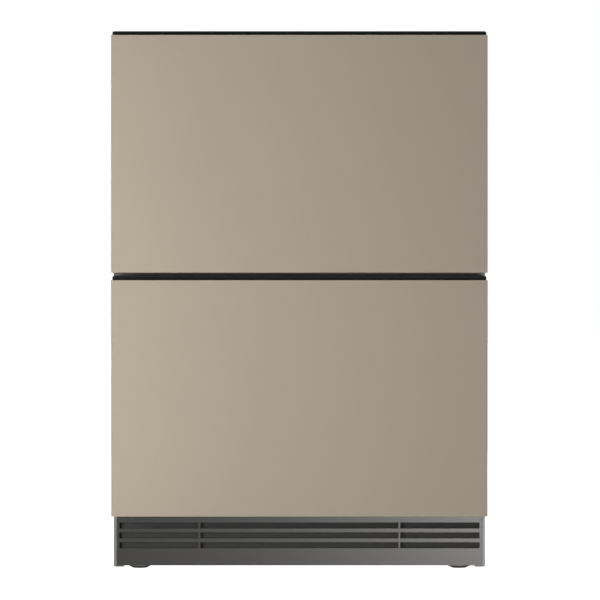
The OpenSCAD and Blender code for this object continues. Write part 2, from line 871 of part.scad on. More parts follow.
module front_shell(drawer) {
    low = front_low(drawer);
    shell_top = front_top(drawer) - cap_h;
    color("dimgray") {
        block([-half_w, core_y, low], [half_w, core_y + skin_t, front_top(drawer) - cap_rise]);
        block([-half_w, core_y + skin_t, low], [half_w, seal_y, low + skin_t]);
        both_sides()
        block([half_w - skin_t, core_y + skin_t, low + skin_t], [half_w, seal_y, shell_top]);
    }
}

// The raised middle of the front's inner wall, smaller by shrink all round.
module dam(drawer, shrink) {
    block([-dam_x + shrink, seal_y - liner_t, bin_low(drawer) + bin_t + dam_clear + shrink],
          [dam_x - shrink, seal_y + dam_d - shrink, bin_top(drawer) - shrink]);
}

module front_foam(drawer) {
    color("khaki") {
        block([-half_w + skin_t, core_y + skin_t, front_low(drawer) + skin_t],
              [half_w - skin_t, seal_y - liner_t, front_top(drawer) - cap_h]);
        dam(drawer, liner_t);
    }
}

module front_liner(drawer) {
    color("whitesmoke")
    difference() {
        union() {
            block([-half_w + skin_t, seal_y - liner_t, front_low(drawer) + skin_t],
                  [half_w - skin_t, seal_y, front_top(drawer) - cap_h]);
            dam(drawer, 0);
        }
        dam(drawer, liner_t);
    }
}

module gasket(drawer) {
    // Where the two fronts meet at the rail, each gasket stays on its own front.
    low = max(opening_low(drawer) - gasket_lap, front_low(drawer) + gasket_edge);
    top = min(opening_top(drawer) + gasket_lap, front_top(drawer) - gasket_edge);
    x = room_x + gasket_lap;
    color("dimgray")
    along_y(seal_y, cab_y - seal_gap) difference() {
        area([-x, low], [x, top]);
        area([-x + gasket_w, low + gasket_w], [x - gasket_w, top - gasket_w]);
    }
}

module bin(drawer) {
    low = bin_low(drawer);
    top = bin_top(drawer);
    color("gainsboro") {
        block([-bin_x, seal_y, low], [bin_x, bin_back(drawer), low + bin_t]);
        block([-bin_x, bin_back(drawer) - bin_t, low + bin_t], [bin_x, bin_back(drawer), top]);
        both_sides() {
            block([bin_x - bin_t, seal_y, low + bin_t], [bin_x, bin_back(drawer) - bin_t, top]);
            block([bin_x - bin_flange_w, seal_y, low + bin_t], [bin_x - bin_t, seal_y + bin_t, top]);
            block([bin_x, seal_y, top - bin_t], [bin_x + bin_rim_w, bin_back(drawer), top]);
        }
    }
}

module upper_overlay_panel() {
    overlay_panel(upper);
}

module upper_top_cap() {
    top_cap(upper);
}

module upper_front_shell() {
    front_shell(upper);
}

module upper_front_foam() {
    front_foam(upper);
}

module upper_front_liner() {
    front_liner(upper);
}

module upper_gasket() {
    gasket(upper);
}

module upper_bin() {
    bin(upper);
}

module lower_overlay_panel() {
    overlay_panel(lower);
}

module lower_top_cap() {
    top_cap(lower);
}

module lower_front_shell() {
    front_shell(lower);
}

module lower_front_foam() {
    front_foam(lower);
}

module lower_front_liner() {
    front_liner(lower);
}

module lower_gasket() {
    gasket(lower);
}

module lower_bin() {
    bin(lower);
}

// Fans: blades are flat plates set at an angle, cut to the fan's round.

module fan(hub_d, hub_l, d) {
    cylinder(d = hub_d, h = hub_l);
    for (i = [0 : fan_blades - 1]) {
        rotate([0, 0, i * 360 / fan_blades])
        intersection() {
            translate([0, 0, blade_inset]) cylinder(d = d, h = hub_l - 2 * blade_inset);
            translate([hub_d / 4, 0, hub_l / 2]) rotate([blade_angle, 0, 0])
            translate([0, -hub_l, -blade_t / 2]) cube([d, 2 * hub_l, blade_t]);
        }
    }
}

// A round motor with a blind bore for its fan's shaft, on four arms that end in posts towards the fan.
module fan_motor(motor_d, motor_l, shaft_d, arm_r, post_l) {
    difference() {
        union() {
            cylinder(d = motor_d, h = motor_l);
            for (i = [0 : 3]) {
                rotate([0, 0, 45 + i * 90]) {
                    translate([0, -arm_w / 2, 0]) cube([arm_r, arm_w, arm_t]);
                    translate([arm_r, 0, -post_l]) cylinder(d = post_d, h = post_l + arm_t);
                }
            }
        }
        translate([0, 0, -1]) cylinder(d = shaft_d + 2 * motor_bore_clear, h = shaft_depth(motor_l) + 2);
    }
}

// Evaporator

module evaporator_coil() {
    fin_pitch = (evap_w - fin_t) / (evap_fins - 1);
    tube_x = evap_w / 2 + tube_out;
    bend = evap_pitch / 2;
    rise = (evap_row_z[1] - evap_row_z[0]) / 2;
    last = evap_tubes - 1;
    color("silver") {
        for (i = [0 : evap_fins - 1]) {
            x = -evap_w / 2 + i * fin_pitch;
            block([x, evap_y0, evap_z0], [x + fin_t, evap_y0 + evap_d, evap_z0 + evap_h]);
        }
        for (y = evap_tube_y, z = evap_row_z) {
            rod_x([-tube_x, y, z], tube_d, 2 * tube_x);
        }
        // End plates stand on the step.
        for (x = [-evap_w / 2 - end_t, evap_w / 2]) {
            block([x, evap_y0, step_z], [x + end_t, evap_y0 + evap_d, evap_z0 + evap_h]);
        }
        // Bends join the tubes to one path with both ends on the right.
        for (z = evap_row_z, i = [0 : last - 1]) {
            side = i % 2 == 0 ? -1 : 1;
            middle_y = (evap_tube_y[i] + evap_tube_y[i + 1]) / 2;
            tube_bend([side * tube_x, middle_y, z], [0, 1, 0], [side, 0, 0], tube_d, bend, 180);
        }
        tube_bend([tube_x, evap_tube_y[last], evap_row_z[0] + rise], [0, 0, 1], [1, 0, 0], tube_d, rise, 180);
    }
}

module evaporator_cover() {
    inlet_w = 60;
    inlet_h = 8;
    inlet_up = 14;
    inlet_pitch = 90;
    spoke = 2;
    boss_d = 34;
    color("gainsboro")
    difference() {
        along_x(-room_x, room_x) {
            area([cover_y0, step_z], [cover_y0 + cover_t, cover_top_z]);
            area([cover_y0 + cover_t, cover_top_z - cover_t], [room_back_y, cover_top_z]);
        }
        // Air outlet: a ring of openings in front of the fan.
        translate([0, cover_y0 - 1, evap_fan_z]) rotate([-90, 0, 0])
        for (i = [0 : 5]) {
            rotate([0, 0, i * 60])
            intersection() {
                difference() {
                    cylinder(d = evap_fan_d, h = cover_t + 2);
                    translate([0, 0, -1]) cylinder(d = boss_d, h = cover_t + 4);
                }
                translate([spoke, spoke, -1]) cube([evap_fan_d, evap_fan_d, cover_t + 4]);
                rotate([0, 0, -30]) translate([spoke, spoke, -1]) cube([evap_fan_d, evap_fan_d, cover_t + 4]);
            }
        }
        // Air inlets: a row of slots low on each side.
        for (i = [-2 : 2]) {
            translate([i * inlet_pitch - inlet_w / 2, cover_y0 - 1, step_z + inlet_up])
            cube([inlet_w, cover_t + 2, inlet_h]);
        }
    }
}

module evaporator_fan_motor() {
    motor_y = evap_fan_y + evap_fan_l + motor_gap;
    arm_r = evap_fan_d / 2 + post_out;
    color("dimgray")
    translate([0, motor_y, evap_fan_z]) rotate([-90, 0, 0])
    fan_motor(evap_motor_d, evap_motor_l, evap_shaft_d, arm_r, motor_y - cover_y0 - cover_t);
}

module evaporator_fan() {
    color("black")
    translate([0, evap_fan_y, evap_fan_z]) rotate([-90, 0, 0]) {
        fan(evap_hub_d, evap_fan_l, evap_fan_d);
        cylinder(d = evap_shaft_d, h = evap_fan_l + motor_gap + shaft_depth(evap_motor_l));
    }
}

// Light and controls

module light_bar() {
    color("white") {
        block([-light_x, light_y, lens_z], [light_x, light_y + light_d, ceiling_z]);
        block([-light_x + lens_inset, light_y + lens_inset, lens_z - light_lens_h],
              [light_x - lens_inset, light_y + light_d - lens_inset, lens_z]);
    }
}

module control_housing() {
    color("dimgray")
    difference() {
        block([-control_w / 2, control_y, control_z], [control_w / 2, control_y + control_d, ceiling_z]);
        block([-control_w / 2 + control_t, control_y + control_t, control_z + control_t],
              [control_w / 2 - control_t, control_y + control_d - control_t, ceiling_z + 1]);
        for (i = [-1 : 1]) {
            rod_y([i * button_pitch, control_y - 1, button_z], button_d + 2 * running_gap, control_t + 2);
        }
    }
}

// The board stands across the housing, with one push switch behind each button.
module control_board() {
    board_x = control_w / 2 - control_t;
    color("darkgreen") {
        block([-board_x, board_y, control_z + control_t],
              [board_x, board_y + board_t, ceiling_z - control_t]);
        for (i = [-1 : 1]) {
            rod_y([i * button_pitch, board_y - switch_h, button_z], switch_d, switch_h);
        }
    }
}

// A button: its head in the housing's hole, a flange behind the wall, and a stem to the switch.
module push_button(i) {
    x = i * button_pitch;
    tip_d = switch_d - 1;
    flange_y = control_y + control_t + running_gap;
    stem_y = flange_y + button_flange_t;
    color("silver") {
        rod_y([x, control_y - button_out, button_z], button_d, flange_y - control_y + button_out);
        rod_y([x, flange_y, button_z], button_d + 2 * button_flange_w, button_flange_t);
        rod_y([x, stem_y, button_z], tip_d, board_y - switch_h - button_travel - stem_gap - stem_y);
    }
}

module button_power() {
    push_button(-1);
}

module button_cooler() {
    push_button(0);
}

module button_warmer() {
    push_button(1);
}

// A probe in its clip on the evaporator cover.
module temperature_probe() {
    probe_in = 19;
    probe_x = evap_w / 2 - probe_in;
    probe_z = evap_fan_z;
    probe_d = 6;
    probe_l = 36;
    clip_w = 10;
    clip_h = 16;
    color("white") {
        block([probe_x - clip_w / 2, cover_y0 - probe_d, probe_z - clip_h / 2],
              [probe_x + clip_w / 2, cover_y0, probe_z + clip_h / 2]);
        translate([probe_x, cover_y0 - probe_d, probe_z - probe_l / 2]) cylinder(d = probe_d, h = probe_l);
    }
}

// Compressor

// Half of the shell's outline: a rectangle with two round shoulders.
module shell_half(r, h, shoulder) {
    square([r - shoulder, h]);
    translate([0, shoulder]) square([r, h - 2 * shoulder]);
    quarter_disc([r - shoulder, shoulder], shoulder, [1, -1]);
    quarter_disc([r - shoulder, h - shoulder], shoulder, [1, 1]);
}

module compressor() {
    color("black")
    translate([comp_x, machine_mid_y, comp_z]) difference() {
        union() {
            rotate_extrude() shell_half(comp_r, comp_h, comp_shoulder_r);
            translate([0, 0, comp_h / 2]) cylinder(r = comp_r + seam_out, h = seam_h);
            translate([-comp_plate_w / 2, -comp_plate_d / 2, -comp_plate_t])
            cube([comp_plate_w, comp_plate_d, comp_plate_t]);
        }
        translate([0, 0, comp_wall_t]) rotate_extrude()
        shell_half(comp_r - comp_wall_t, comp_h - 2 * comp_wall_t, comp_shoulder_r - comp_wall_t);
        for (x = [-mount_dx, mount_dx], y = [-mount_dy, mount_dy]) {
            translate([x, y, -comp_plate_t - 1])
            cylinder(d = grommet_neck_d + 2 * pass_clear, h = comp_plate_t + 2);
        }
    }
}

module compressor_mounts() {
    color("black")
    for (x = [-mount_dx, mount_dx], y = [-mount_dy, mount_dy]) {
        translate([comp_x + x, machine_mid_y + y, pan_top_z]) {
            cylinder(d = grommet_d, h = grommet_h);
            cylinder(d = grommet_neck_d, h = grommet_h + comp_plate_t);
            translate([0, 0, grommet_h + comp_plate_t]) cylinder(d = grommet_head_d, h = grommet_head_h);
        }
    }
}

module terminal_cover() {
    terminal_in = 15;
    terminal_up = 15;
    color("black")
    difference() {
        block([comp_x + comp_r - terminal_in, machine_mid_y - terminal_w / 2, comp_z + terminal_up],
              [comp_x + comp_r + terminal_out, machine_mid_y + terminal_w / 2, comp_z + comp_h / 2 - 1]);
        translate([comp_x, machine_mid_y, comp_z]) cylinder(r = comp_r + running_gap, h = comp_h);
    }
}

// Condenser

module condenser_coil() {
    fin_pitch = (cond_h - fin_t) / (cond_fins - 1);
    tube_y = [for (i = [0 : cond_tubes - 1]) cond_y1 - cond_pitch * (i + 0.5)];
    low = cond_z - cond_tube_out;
    high = cond_top_z + cond_tube_out;
    bend = cond_pitch / 2;
    row_bend = (cond_row_x[0] - cond_row_x[1]) / 2;
    end_rise = 2;
    last = cond_tubes - 1;
    color("dimgray") {
        for (i = [0 : cond_fins - 1]) {
            z = cond_z + i * fin_pitch;
            block([cond_x0, cond_y0, z], [cond_x1, cond_y1, z + fin_t]);
        }
        for (y = [cond_y0 - end_t, cond_y1]) {
            block([cond_x0, y, pan_top_z], [cond_x1, y + end_t, cond_top_z + end_rise]);
        }
        for (x = cond_row_x, y = tube_y) {
            translate([x, y, low]) cylinder(d = tube_d, h = high - low);
        }
        // Bends join the tubes to one path: down and up in each row, and across between the rows.
        for (x = cond_row_x, i = [0 : last - 1]) {
            side = i % 2 == 0 ? -1 : 1;
            middle_y = (tube_y[i] + tube_y[i + 1]) / 2;
            tube_bend([x, middle_y, side < 0 ? low : high], [0, 1, 0], [0, 0, side], tube_d, bend, 180);
        }
        tube_bend([cond_x1 - cond_t / 2, tube_y[last], high], [1, 0, 0], [0, 0, 1], tube_d, row_bend, 180);
    }
}

// The shroud leads the air from the condenser to the fan, and stands on the base pan.
module condenser_shroud() {
    y0 = cond_y0 - end_t;
    y1 = cond_y1 + end_t;
    z0 = cond_z - shroud_t;
    z1 = cond_top_z + shroud_t;
    color("gray")
    difference() {
        union() {
            block([-shroud_x - shroud_t, y0, pan_top_z], [-shroud_x, y1, z1]);
            block([cond_x1, y0, z1 - shroud_t], [-shroud_x - shroud_t, y1, z1]);
            block([cond_x1, y0, z0], [-shroud_x - shroud_t, y1, z0 + shroud_t]);
            block([cond_x1, y0, z0 + shroud_t], [-shroud_x - shroud_t, y0 + shroud_t, z1 - shroud_t]);
            block([cond_x1, y1 - shroud_t, z0 + shroud_t], [-shroud_x - shroud_t, y1, z1 - shroud_t]);
        }
        translate([-shroud_x - shroud_t - 1, machine_mid_y, cond_fan_z]) rotate([0, 90, 0])
        cylinder(d = cond_fan_d + 2 * cond_fan_gap, h = shroud_t + 2);
    }
}

module condenser_fan_motor() {
    arm_r = cond_fan_d / 2 + cond_fan_gap + post_out;
    color("dimgray")
    translate([cond_motor_x, machine_mid_y, cond_fan_z]) rotate([0, 90, 0])
    fan_motor(cond_motor_d, cond_motor_l, cond_shaft_d, arm_r, cond_motor_x + shroud_x);
}

module condenser_fan() {
    fan_x = -shroud_x - shroud_t / 2 - cond_fan_l / 2;
    color("black")
    translate([fan_x, machine_mid_y, cond_fan_z]) rotate([0, 90, 0]) {
        fan(cond_hub_d, cond_fan_l, cond_fan_d);
        cylinder(d = cond_shaft_d, h = cond_motor_x + shaft_depth(cond_motor_l) - fan_x);
    }
}

// Copper lines, with the filter drier brazed into the one from the condenser.
module refrigerant_lines() {
    gas_bend = 9;
    liquid_bend = 7;
    roof_gap = 11;
    line_step = 9;
    port_x = 30;
    drier_out = 38;
    drier_drop = 39;
    drier_tail = 20;
    tube_z = cond_top_z + cond_tube_out;
    inlet_y = cond_y1 - cond_pitch / 2;
    gas_z = machine_z - roof_gap;
    suction_z = gas_z - line_step;
    liquid_z = machine_z - liquid_bend - 1;
    drier_x = cond_row_x[1] - drier_out;
    drier_top_z = gas_z - drier_drop;
    drier_low_z = drier_top_z - drier_l;
    drier_end_z = drier_low_z - drier_tail;
    bridge_z = suction_z - line_step / 2;
    evap_end_x = evap_w / 2 + tube_out;
    last = evap_tubes - 1;
    color("peru") {
        // From the compressor to the condenser.
        tube_run([
            [comp_x - port_x, machine_mid_y, comp_top_z],
            [comp_x - port_x, machine_mid_y, gas_z],
            [comp_x - port_x, inlet_y, gas_z],
            [cond_row_x[0], inlet_y, gas_z],
            [cond_row_x[0], inlet_y, tube_z]
        ], tube_d, gas_bend);
        // From the condenser through the drier.
        tube_run([
            [cond_row_x[1], inlet_y, tube_z],
            [cond_row_x[1], inlet_y, bridge_z],
            [drier_x, inlet_y, bridge_z],
            [drier_x, inlet_y, drier_top_z]
        ], liquid_d, liquid_bend);
        translate([drier_x, inlet_y, drier_low_z]) cylinder(d = drier_d, h = drier_l);
        tube_run([
            [drier_x, inlet_y, drier_low_z],
            [drier_x, inlet_y, drier_end_z],
            [drier_x, liquid_y, drier_end_z],
            [drier_x, liquid_y, liquid_z],
            [liquid_x, liquid_y, liquid_z],
            [liquid_x, liquid_y, evap_row_z[0]],
            [liquid_x, evap_tube_y[0], evap_row_z[0]],
            [evap_end_x, evap_tube_y[0], evap_row_z[0]]
        ], liquid_d, liquid_bend);
        // From the evaporator back to the compressor.
        tube_run([
            [evap_end_x, evap_tube_y[0], evap_row_z[1]],
            [suction_x, evap_tube_y[0], evap_row_z[1]],
            [suction_x, evap_tube_y[last], evap_row_z[1]],
            [suction_x, evap_tube_y[last], suction_z],
            [comp_x + port_x, evap_tube_y[last], suction_z],
            [comp_x + port_x, evap_tube_y[last], comp_top_z]
        ], tube_d, gas_bend);
    }
}

// A tube from the step leads the melt water to a tray on the base pan.
module condensate_drain() {
    tray_in = 12;
    tube_in = 8;
    collar_w = 5;
    tray_low = [-shroud_x + tray_gap, machine_y + tray_in, pan_top_z];
    tray_high = [comp_x - comp_plate_w / 2 - tray_gap, cross_y - tray_gap, pan_top_z + tray_h];
    tube_z = pan_top_z + tray_h - tube_in;
    color("lightgray") {
        difference() {
            block(tray_low, tray_high);
            block(tray_low + drain_wall_t * [1, 1, 1], tray_high - [drain_wall_t, drain_wall_t, -1]);
        }
        difference() {
            union() {
                translate([drain_x, drain_y, tube_z]) cylinder(d = drain_d, h = step_z - tube_z);
                translate([drain_x, drain_y, step_z]) cylinder(d = drain_d + 2 * collar_w, h = drain_wall_t);
            }
            translate([drain_x, drain_y, tube_z - 1]) cylinder(d = drain_d - 2 * drain_wall_t, h = step_z);
        }
    }
}

// Base

module base_pan() {
    color("silver")
    difference() {
        union() {
            block([-base_x, pan_front_y, pan_z], [base_x, cover_y, pan_top_z]);
            block([-base_x, pan_front_y, pan_top_z], [base_x, pan_front_y + pan_t, pan_z + pan_edge_h]);
            both_sides()
            block([base_x - pan_t, pan_front_y + pan_t, pan_top_z], [base_x, cross_y, pan_z + pan_edge_h]);
            for (x = [-foot_x, foot_x], y = [foot_front_y, foot_rear_y]) {
                translate([x, y, pan_top_z]) cylinder(d = bush_d, h = bush_h);
            }
        }
        for (x = [-foot_x, foot_x], y = [foot_front_y, foot_rear_y]) {
            translate([x, y, pan_z - 1]) cylinder(d = stem_d + 2 * stem_clear, h = pan_t + bush_h + 2);
        }
    }
}

module rail_section() {
    corner = [half_w - rail_bend_r, rail_z + rail_bend_r];
    area([half_w - rail_t, corner.y], [half_w, underside_z]);
    area([half_w - rail_foot_w, rail_z], [corner.x, rail_z + rail_t]);
    difference() {
        quarter_disc(corner, rail_bend_r, [1, -1]);
        translate(corner) circle(r = rail_bend_r - rail_t);
    }
}

module rail_face() {
    corner = [half_w - rail_bend_r, rail_z + rail_bend_r];
    area([half_w - rail_face_w, corner.y], [half_w, underside_z]);
    area([half_w - rail_face_w, rail_z], [corner.x, corner.y]);
    quarter_disc(corner, rail_bend_r, [1, -1]);
}

module base_frame() {
    hole_z = pan_top_z + cross_h / 2;
    color("gray") {
        both_sides() {
            along_y(cab_y + rail_t, back_y) rail_section();
            along_y(cab_y, cab_y + rail_t) rail_face();
            // The top flange carries the cabinet's floor, and stops short of the machine compartment.
            block([half_w - rail_top_w, cab_y + rail_t, underside_z - rail_t],
                  [base_x, machine_y, underside_z]);
        }
        difference() {
            along_x(-base_x, base_x) {
                area([cover_y - rail_t, pan_top_z], [cover_y, cross_top_z]);
                area([cross_y, pan_top_z], [cover_y - rail_t, pan_top_z + rail_t]);
                area([cross_y, cross_top_z - rail_t], [cover_y - rail_t, cross_top_z]);
            }
            for (x = [-anti_tip_spacing / 2, anti_tip_spacing / 2]) {
                rod_y([x, cover_y - rail_t - 1, hole_z], anti_tip_hole_d, rail_t + 2);
            }
        }
    }
}

module toe_grille() {
    color("gray")
    difference() {
        block([-grille_x, cab_y, grille_z], [grille_x, cab_y + grille_edge_d, grille_top_z]);
        block([-grille_x + grille_t, cab_y + grille_t, grille_z + grille_t],
              [grille_x - grille_t, cab_y + grille_edge_d + 1, grille_top_z - grille_t]);
        for (column = slot_columns, row = [-1 : 1]) {
            z = slot_mid_z + row * slot_pitch;
            block([column[0], cab_y - 1, z - slot_h / 2], [column[1], cab_y + grille_t + 1, z + slot_h / 2]);
        }
    }
}

// Three pads, one behind each column of slots, on a thin tray that closes the grille's back.
module air_filter() {
    tray_t = 2;
    z0 = slot_mid_z - slot_pitch - slot_h;
    z1 = slot_mid_z + slot_pitch + slot_h;
    color("darkslategray") {
        for (column = slot_columns) {
            block([column[0] + filter_slit_w, filter_y, z0], [column[1], cab_y + grille_edge_d, z1]);
        }
        block([-grille_x, cab_y + grille_edge_d, grille_z],
              [grille_x, cab_y + grille_edge_d + tray_t, grille_top_z]);
    }
}

// The cover closes the machine compartment and lets its air through rows of slots.
module rear_cover() {
    rows = 12;
    vents_up = 92;
    first_z = cross_top_z + vents_up;
    color("silver")
    difference() {
        block([-base_x + running_gap, cover_inner_y, cross_top_z],
              [base_x - running_gap, cover_y, machine_z]);
        for (column = [-1.5 : 1.5], row = [0 : rows - 1]) {
            x = column * vent_column_pitch;
            z = first_z + row * vent_pitch;
            block([x - vent_w / 2, cover_inner_y - 1, z], [x + vent_w / 2, cover_y + 1, z + vent_h]);
        }
        rod_y([-inlet_x, cover_inner_y - 1, inlet_z], gland_d + 2 * running_gap, cover_sheet_t + 2);
    }
}

module junction_box() {
    color("lightgray")
    difference() {
        block(box_low, box_high);
        block(box_low + [box_t, box_t, box_t], box_high - [box_t, box_t, box_t]);
        rod_y([-inlet_x, cover_inner_y - box_t - 1, inlet_z], gland_d + 2 * running_gap, box_t + 2);
    }
}

module power_gland() {
    color("black")
    difference() {
        union() {
            rod_y([-inlet_x, cover_y, inlet_z], gland_flange_d, back_y - cover_y);
            rod_y([-inlet_x, gland_end_y, inlet_z], gland_d, cover_y - gland_end_y);
            rod_y([-inlet_x, nut_y - nut_h, inlet_z], gland_flange_d, nut_h);
        }
        rod_y([-inlet_x, gland_end_y - 1, inlet_z], gland_bore_d, back_y - gland_end_y + 2);
    }
}

// Pan-head screws that hold the rear cover along its edges.
module cabinet_screws() {
    screw_x = base_x - screw_inset;
    low = cross_top_z + screw_inset;
    high = machine_z - screw_inset;
    color("silver")
    for (x = [-screw_x, -screw_x / 3, screw_x / 3, screw_x], z = [low, high]) {
        rod_y([x, cover_y, z], screw_head_d, screw_head_h);
    }
}

// Feet

// A foot: a disc with a tapered edge, a hexagon for a spanner, and a threaded stem up into the base pan.
module foot(x, y) {
    hex_top_z = pan_z - running_gap;
    toe_w = 3;
    toe_h = 1.3;
    edge_z = 2.9;
    bevel = 0.8;
    color("gray")
    translate([x, y, 0]) {
        rotate_extrude() polygon([
            [0, 0],
            [foot_flat_d / 2, 0],
            [foot_flat_d / 2 + toe_w, toe_h],
            [foot_d / 2, edge_z],
            [foot_d / 2, foot_disc_h - bevel],
            [foot_d / 2 - bevel, foot_disc_h],
            [0, foot_disc_h]
        ]);
        translate([0, 0, foot_disc_h]) cylinder(d = hex_d, h = hex_top_z - foot_disc_h, $fn = 6);
        translate([0, 0, hex_top_z]) cylinder(d = stem_d, h = foot_disc_h + stem_l - hex_top_z);
    }
}

module foot_front_left() {
    foot(-foot_x, foot_front_y);
}

module foot_front_right() {
    foot(foot_x, foot_front_y);
}

module foot_rear_left() {
    foot(-foot_x, foot_rear_y);
}

module foot_rear_right() {
    foot(foot_x, foot_rear_y);
}

side_panel_left();
side_panel_right();
top_panel();
back_panel();
floor_panel();
machine_housing();
insulation();
inner_liner();
mullion();
outer_slide_rails();
evaporator_coil();
evaporator_cover();
evaporator_fan_motor();
evaporator_fan();
light_bar();
control_housing();
control_board();
button_power();
button_cooler();
button_warmer();
temperature_probe();
compressor();
compressor_mounts();
terminal_cover();
condenser_coil();
condenser_shroud();
condenser_fan_motor();
condenser_fan();
refrigerant_lines();
condensate_drain();
base_pan();
base_frame();
toe_grille();
air_filter();
rear_cover();
junction_box();
power_gland();
cabinet_screws();
foot_front_left();
foot_front_right();
foot_rear_left();
foot_rear_right();
upper_middle_rails();
lower_middle_rails();
upper_overlay_panel();
upper_top_cap();
upper_front_shell();
upper_front_foam();
upper_front_liner();
upper_gasket();
upper_bin();
upper_inner_rails();
lower_overlay_panel();
lower_top_cap();
lower_front_shell();
lower_front_foam();
lower_front_liner();
lower_gasket();
lower_bin();
lower_inner_rails();
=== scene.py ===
# %% [markdown]
# # Undercounter drawer refrigerator
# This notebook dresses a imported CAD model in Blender. The model brings every solid of the refrigerator
# in its real place, in metres. What is added here is what a photographer would see: rounded edges,
# finishes, screws with a driver's cross, threads, fins and a soft magnetic gasket.

import json
import math

import bmesh
import bpy
from mathutils import Matrix, Vector


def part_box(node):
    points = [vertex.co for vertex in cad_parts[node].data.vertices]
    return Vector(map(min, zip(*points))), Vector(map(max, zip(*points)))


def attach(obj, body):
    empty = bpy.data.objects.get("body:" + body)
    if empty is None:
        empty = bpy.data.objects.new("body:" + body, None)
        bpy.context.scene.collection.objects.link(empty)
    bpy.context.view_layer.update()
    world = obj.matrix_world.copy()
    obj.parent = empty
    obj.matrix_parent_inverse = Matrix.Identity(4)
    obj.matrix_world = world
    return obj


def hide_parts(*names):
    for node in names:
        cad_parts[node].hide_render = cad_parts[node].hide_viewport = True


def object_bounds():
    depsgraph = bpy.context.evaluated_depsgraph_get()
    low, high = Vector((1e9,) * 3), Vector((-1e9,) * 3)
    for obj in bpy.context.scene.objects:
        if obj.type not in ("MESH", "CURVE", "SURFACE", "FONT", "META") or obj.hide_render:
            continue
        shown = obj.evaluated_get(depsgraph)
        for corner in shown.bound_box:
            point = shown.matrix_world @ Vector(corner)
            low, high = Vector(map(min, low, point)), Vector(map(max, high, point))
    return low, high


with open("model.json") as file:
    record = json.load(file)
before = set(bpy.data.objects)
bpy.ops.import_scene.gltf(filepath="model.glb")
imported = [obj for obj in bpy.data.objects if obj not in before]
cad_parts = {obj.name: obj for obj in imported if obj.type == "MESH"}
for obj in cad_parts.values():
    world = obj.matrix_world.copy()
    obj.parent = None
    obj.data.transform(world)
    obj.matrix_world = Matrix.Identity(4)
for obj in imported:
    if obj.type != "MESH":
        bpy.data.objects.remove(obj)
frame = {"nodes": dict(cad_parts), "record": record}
cad_low, cad_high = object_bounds()
nodes = frame["nodes"]
scene = bpy.context.scene
body_of_node = {n: body for body, members in frame["record"]["behaviour"]["bodies"].items() for n in members}
print("CAD solids:", len(nodes), "box", [round(v, 4) for v in cad_low], [round(v, 4) for v in cad_high])

# %% [markdown]
# The photograph is a straight front view from far away, so its verticals stay upright and the sides of
# the cabinet don't show. A long lens at about the cabinet's half height gives the same view. Its distance
# follows from the toe grille, which lies 67 mm behind the panels and looks a little over 1 percent smaller.

# %% Camera
FRONT_Y = cad_low.y
CAMERA_DISTANCE = 5.68
CAMERA_HEIGHT = 0.4386
CAMERA_TO_RIGHT = 0.001
FOCAL_LENGTH = 211.6
camera_data = bpy.data.cameras.new("front_camera")
camera_data.lens = FOCAL_LENGTH
camera_data.sensor_width = 36
camera_data.clip_end = 60
camera = bpy.data.objects.new("front_camera", camera_data)
camera.location = (CAMERA_TO_RIGHT, FRONT_Y - CAMERA_DISTANCE, CAMERA_HEIGHT)
camera.rotation_euler = (math.radians(90), 0, 0)
scene.collection.objects.link(camera)
scene.camera = camera
print("camera at", [round(v, 3) for v in camera.location])

# %% [markdown]
# Most finishes here are one idea with other numbers: a colour that wanders a little, a gloss that wanders
# with it, and a fine relief. One helper builds that from a noise on Object coordinates. Because every
# solid keeps its own place in its mesh, the pattern has a real size and doesn't slide. Stretching
# the coordinates turns the same noise into brushing, drawing marks or wood grain.

# %% Helpers that build a tree of nodes
def feed(link, socket, value):
    """Joins a socket to another node's output, or sets it to a plain value."""
    if isinstance(value, bpy.types.NodeSocket):
        link(value, socket)
    else:
        socket.default_value = value


def maths(add, link, operation, first, second=None):
    """The result of one Math node. Each operand is an output to join or a number."""
    node = add("ShaderNodeMath")
    node.operation = operation
    feed(link, node.inputs[0], first)
    if second is not None:
        feed(link, node.inputs[1], second)
    return node.outputs[0]


def blend_colours(add, link, value, first, second, way="MIX"):
    """Two colours, mixed by a value. Each colour is an output to join or three numbers."""
    node = add("ShaderNodeMix")
    node.data_type = "RGBA"
    node.blend_type = way
    feed(link, node.inputs["Factor"], value)
    for name, colour in (("A", first), ("B", second)):
        feed(link, node.inputs[name], (*colour, 1) if isinstance(colour, tuple) else colour)
    return node.outputs["Result"]


# %% Helpers for materials
NOISE_REACH = (0.3, 0.7)


def blank(name):
    """A material with its shader, and the functions that add and join nodes."""
    material = bpy.data.materials.new(name)
    material.use_nodes = True
    tree = material.node_tree
    return material, tree.nodes["Principled BSDF"], tree.nodes.new, tree.links.new


def coordinates(add, link, stretch=(1, 1, 1)):
    """Object coordinates, stretched: a large number makes the pattern narrow along that axis."""
    place = add("ShaderNodeTexCoord")
    mapping = add("ShaderNodeMapping")
    mapping.inputs["Scale"].default_value = stretch
    link(place.outputs["Object"], mapping.inputs["Vector"])
    return mapping.outputs["Vector"]


def noise(add, link, vector, scale, detail=4):
    texture = add("ShaderNodeTexNoise")
    texture.inputs["Scale"].default_value = scale
    texture.inputs["Detail"].default_value = detail
    link(vector, texture.inputs["Vector"])
    return texture.outputs["Fac"]


def spread(add, link, value, low, high):
    """A value that varies from low to high with a pattern, which itself hardly leaves NOISE_REACH."""
    node = add("ShaderNodeMapRange")
    node.inputs["From Min"].default_value, node.inputs["From Max"].default_value = NOISE_REACH
    node.inputs["To Min"].default_value = low
    node.inputs["To Max"].default_value = high
    link(value, node.inputs["Value"])
    return node.outputs["Result"]


def relief(add, link, shader, height, strength, depth):
    node = add("ShaderNodeBump")
    node.inputs["Strength"].default_value = strength
    node.inputs["Distance"].default_value = depth
    link(height, node.inputs["Height"])
    link(node.outputs["Normal"], shader.inputs["Normal"])


def tint(colour, by):
    return tuple(min(1, max(0, c * by)) for c in colour)


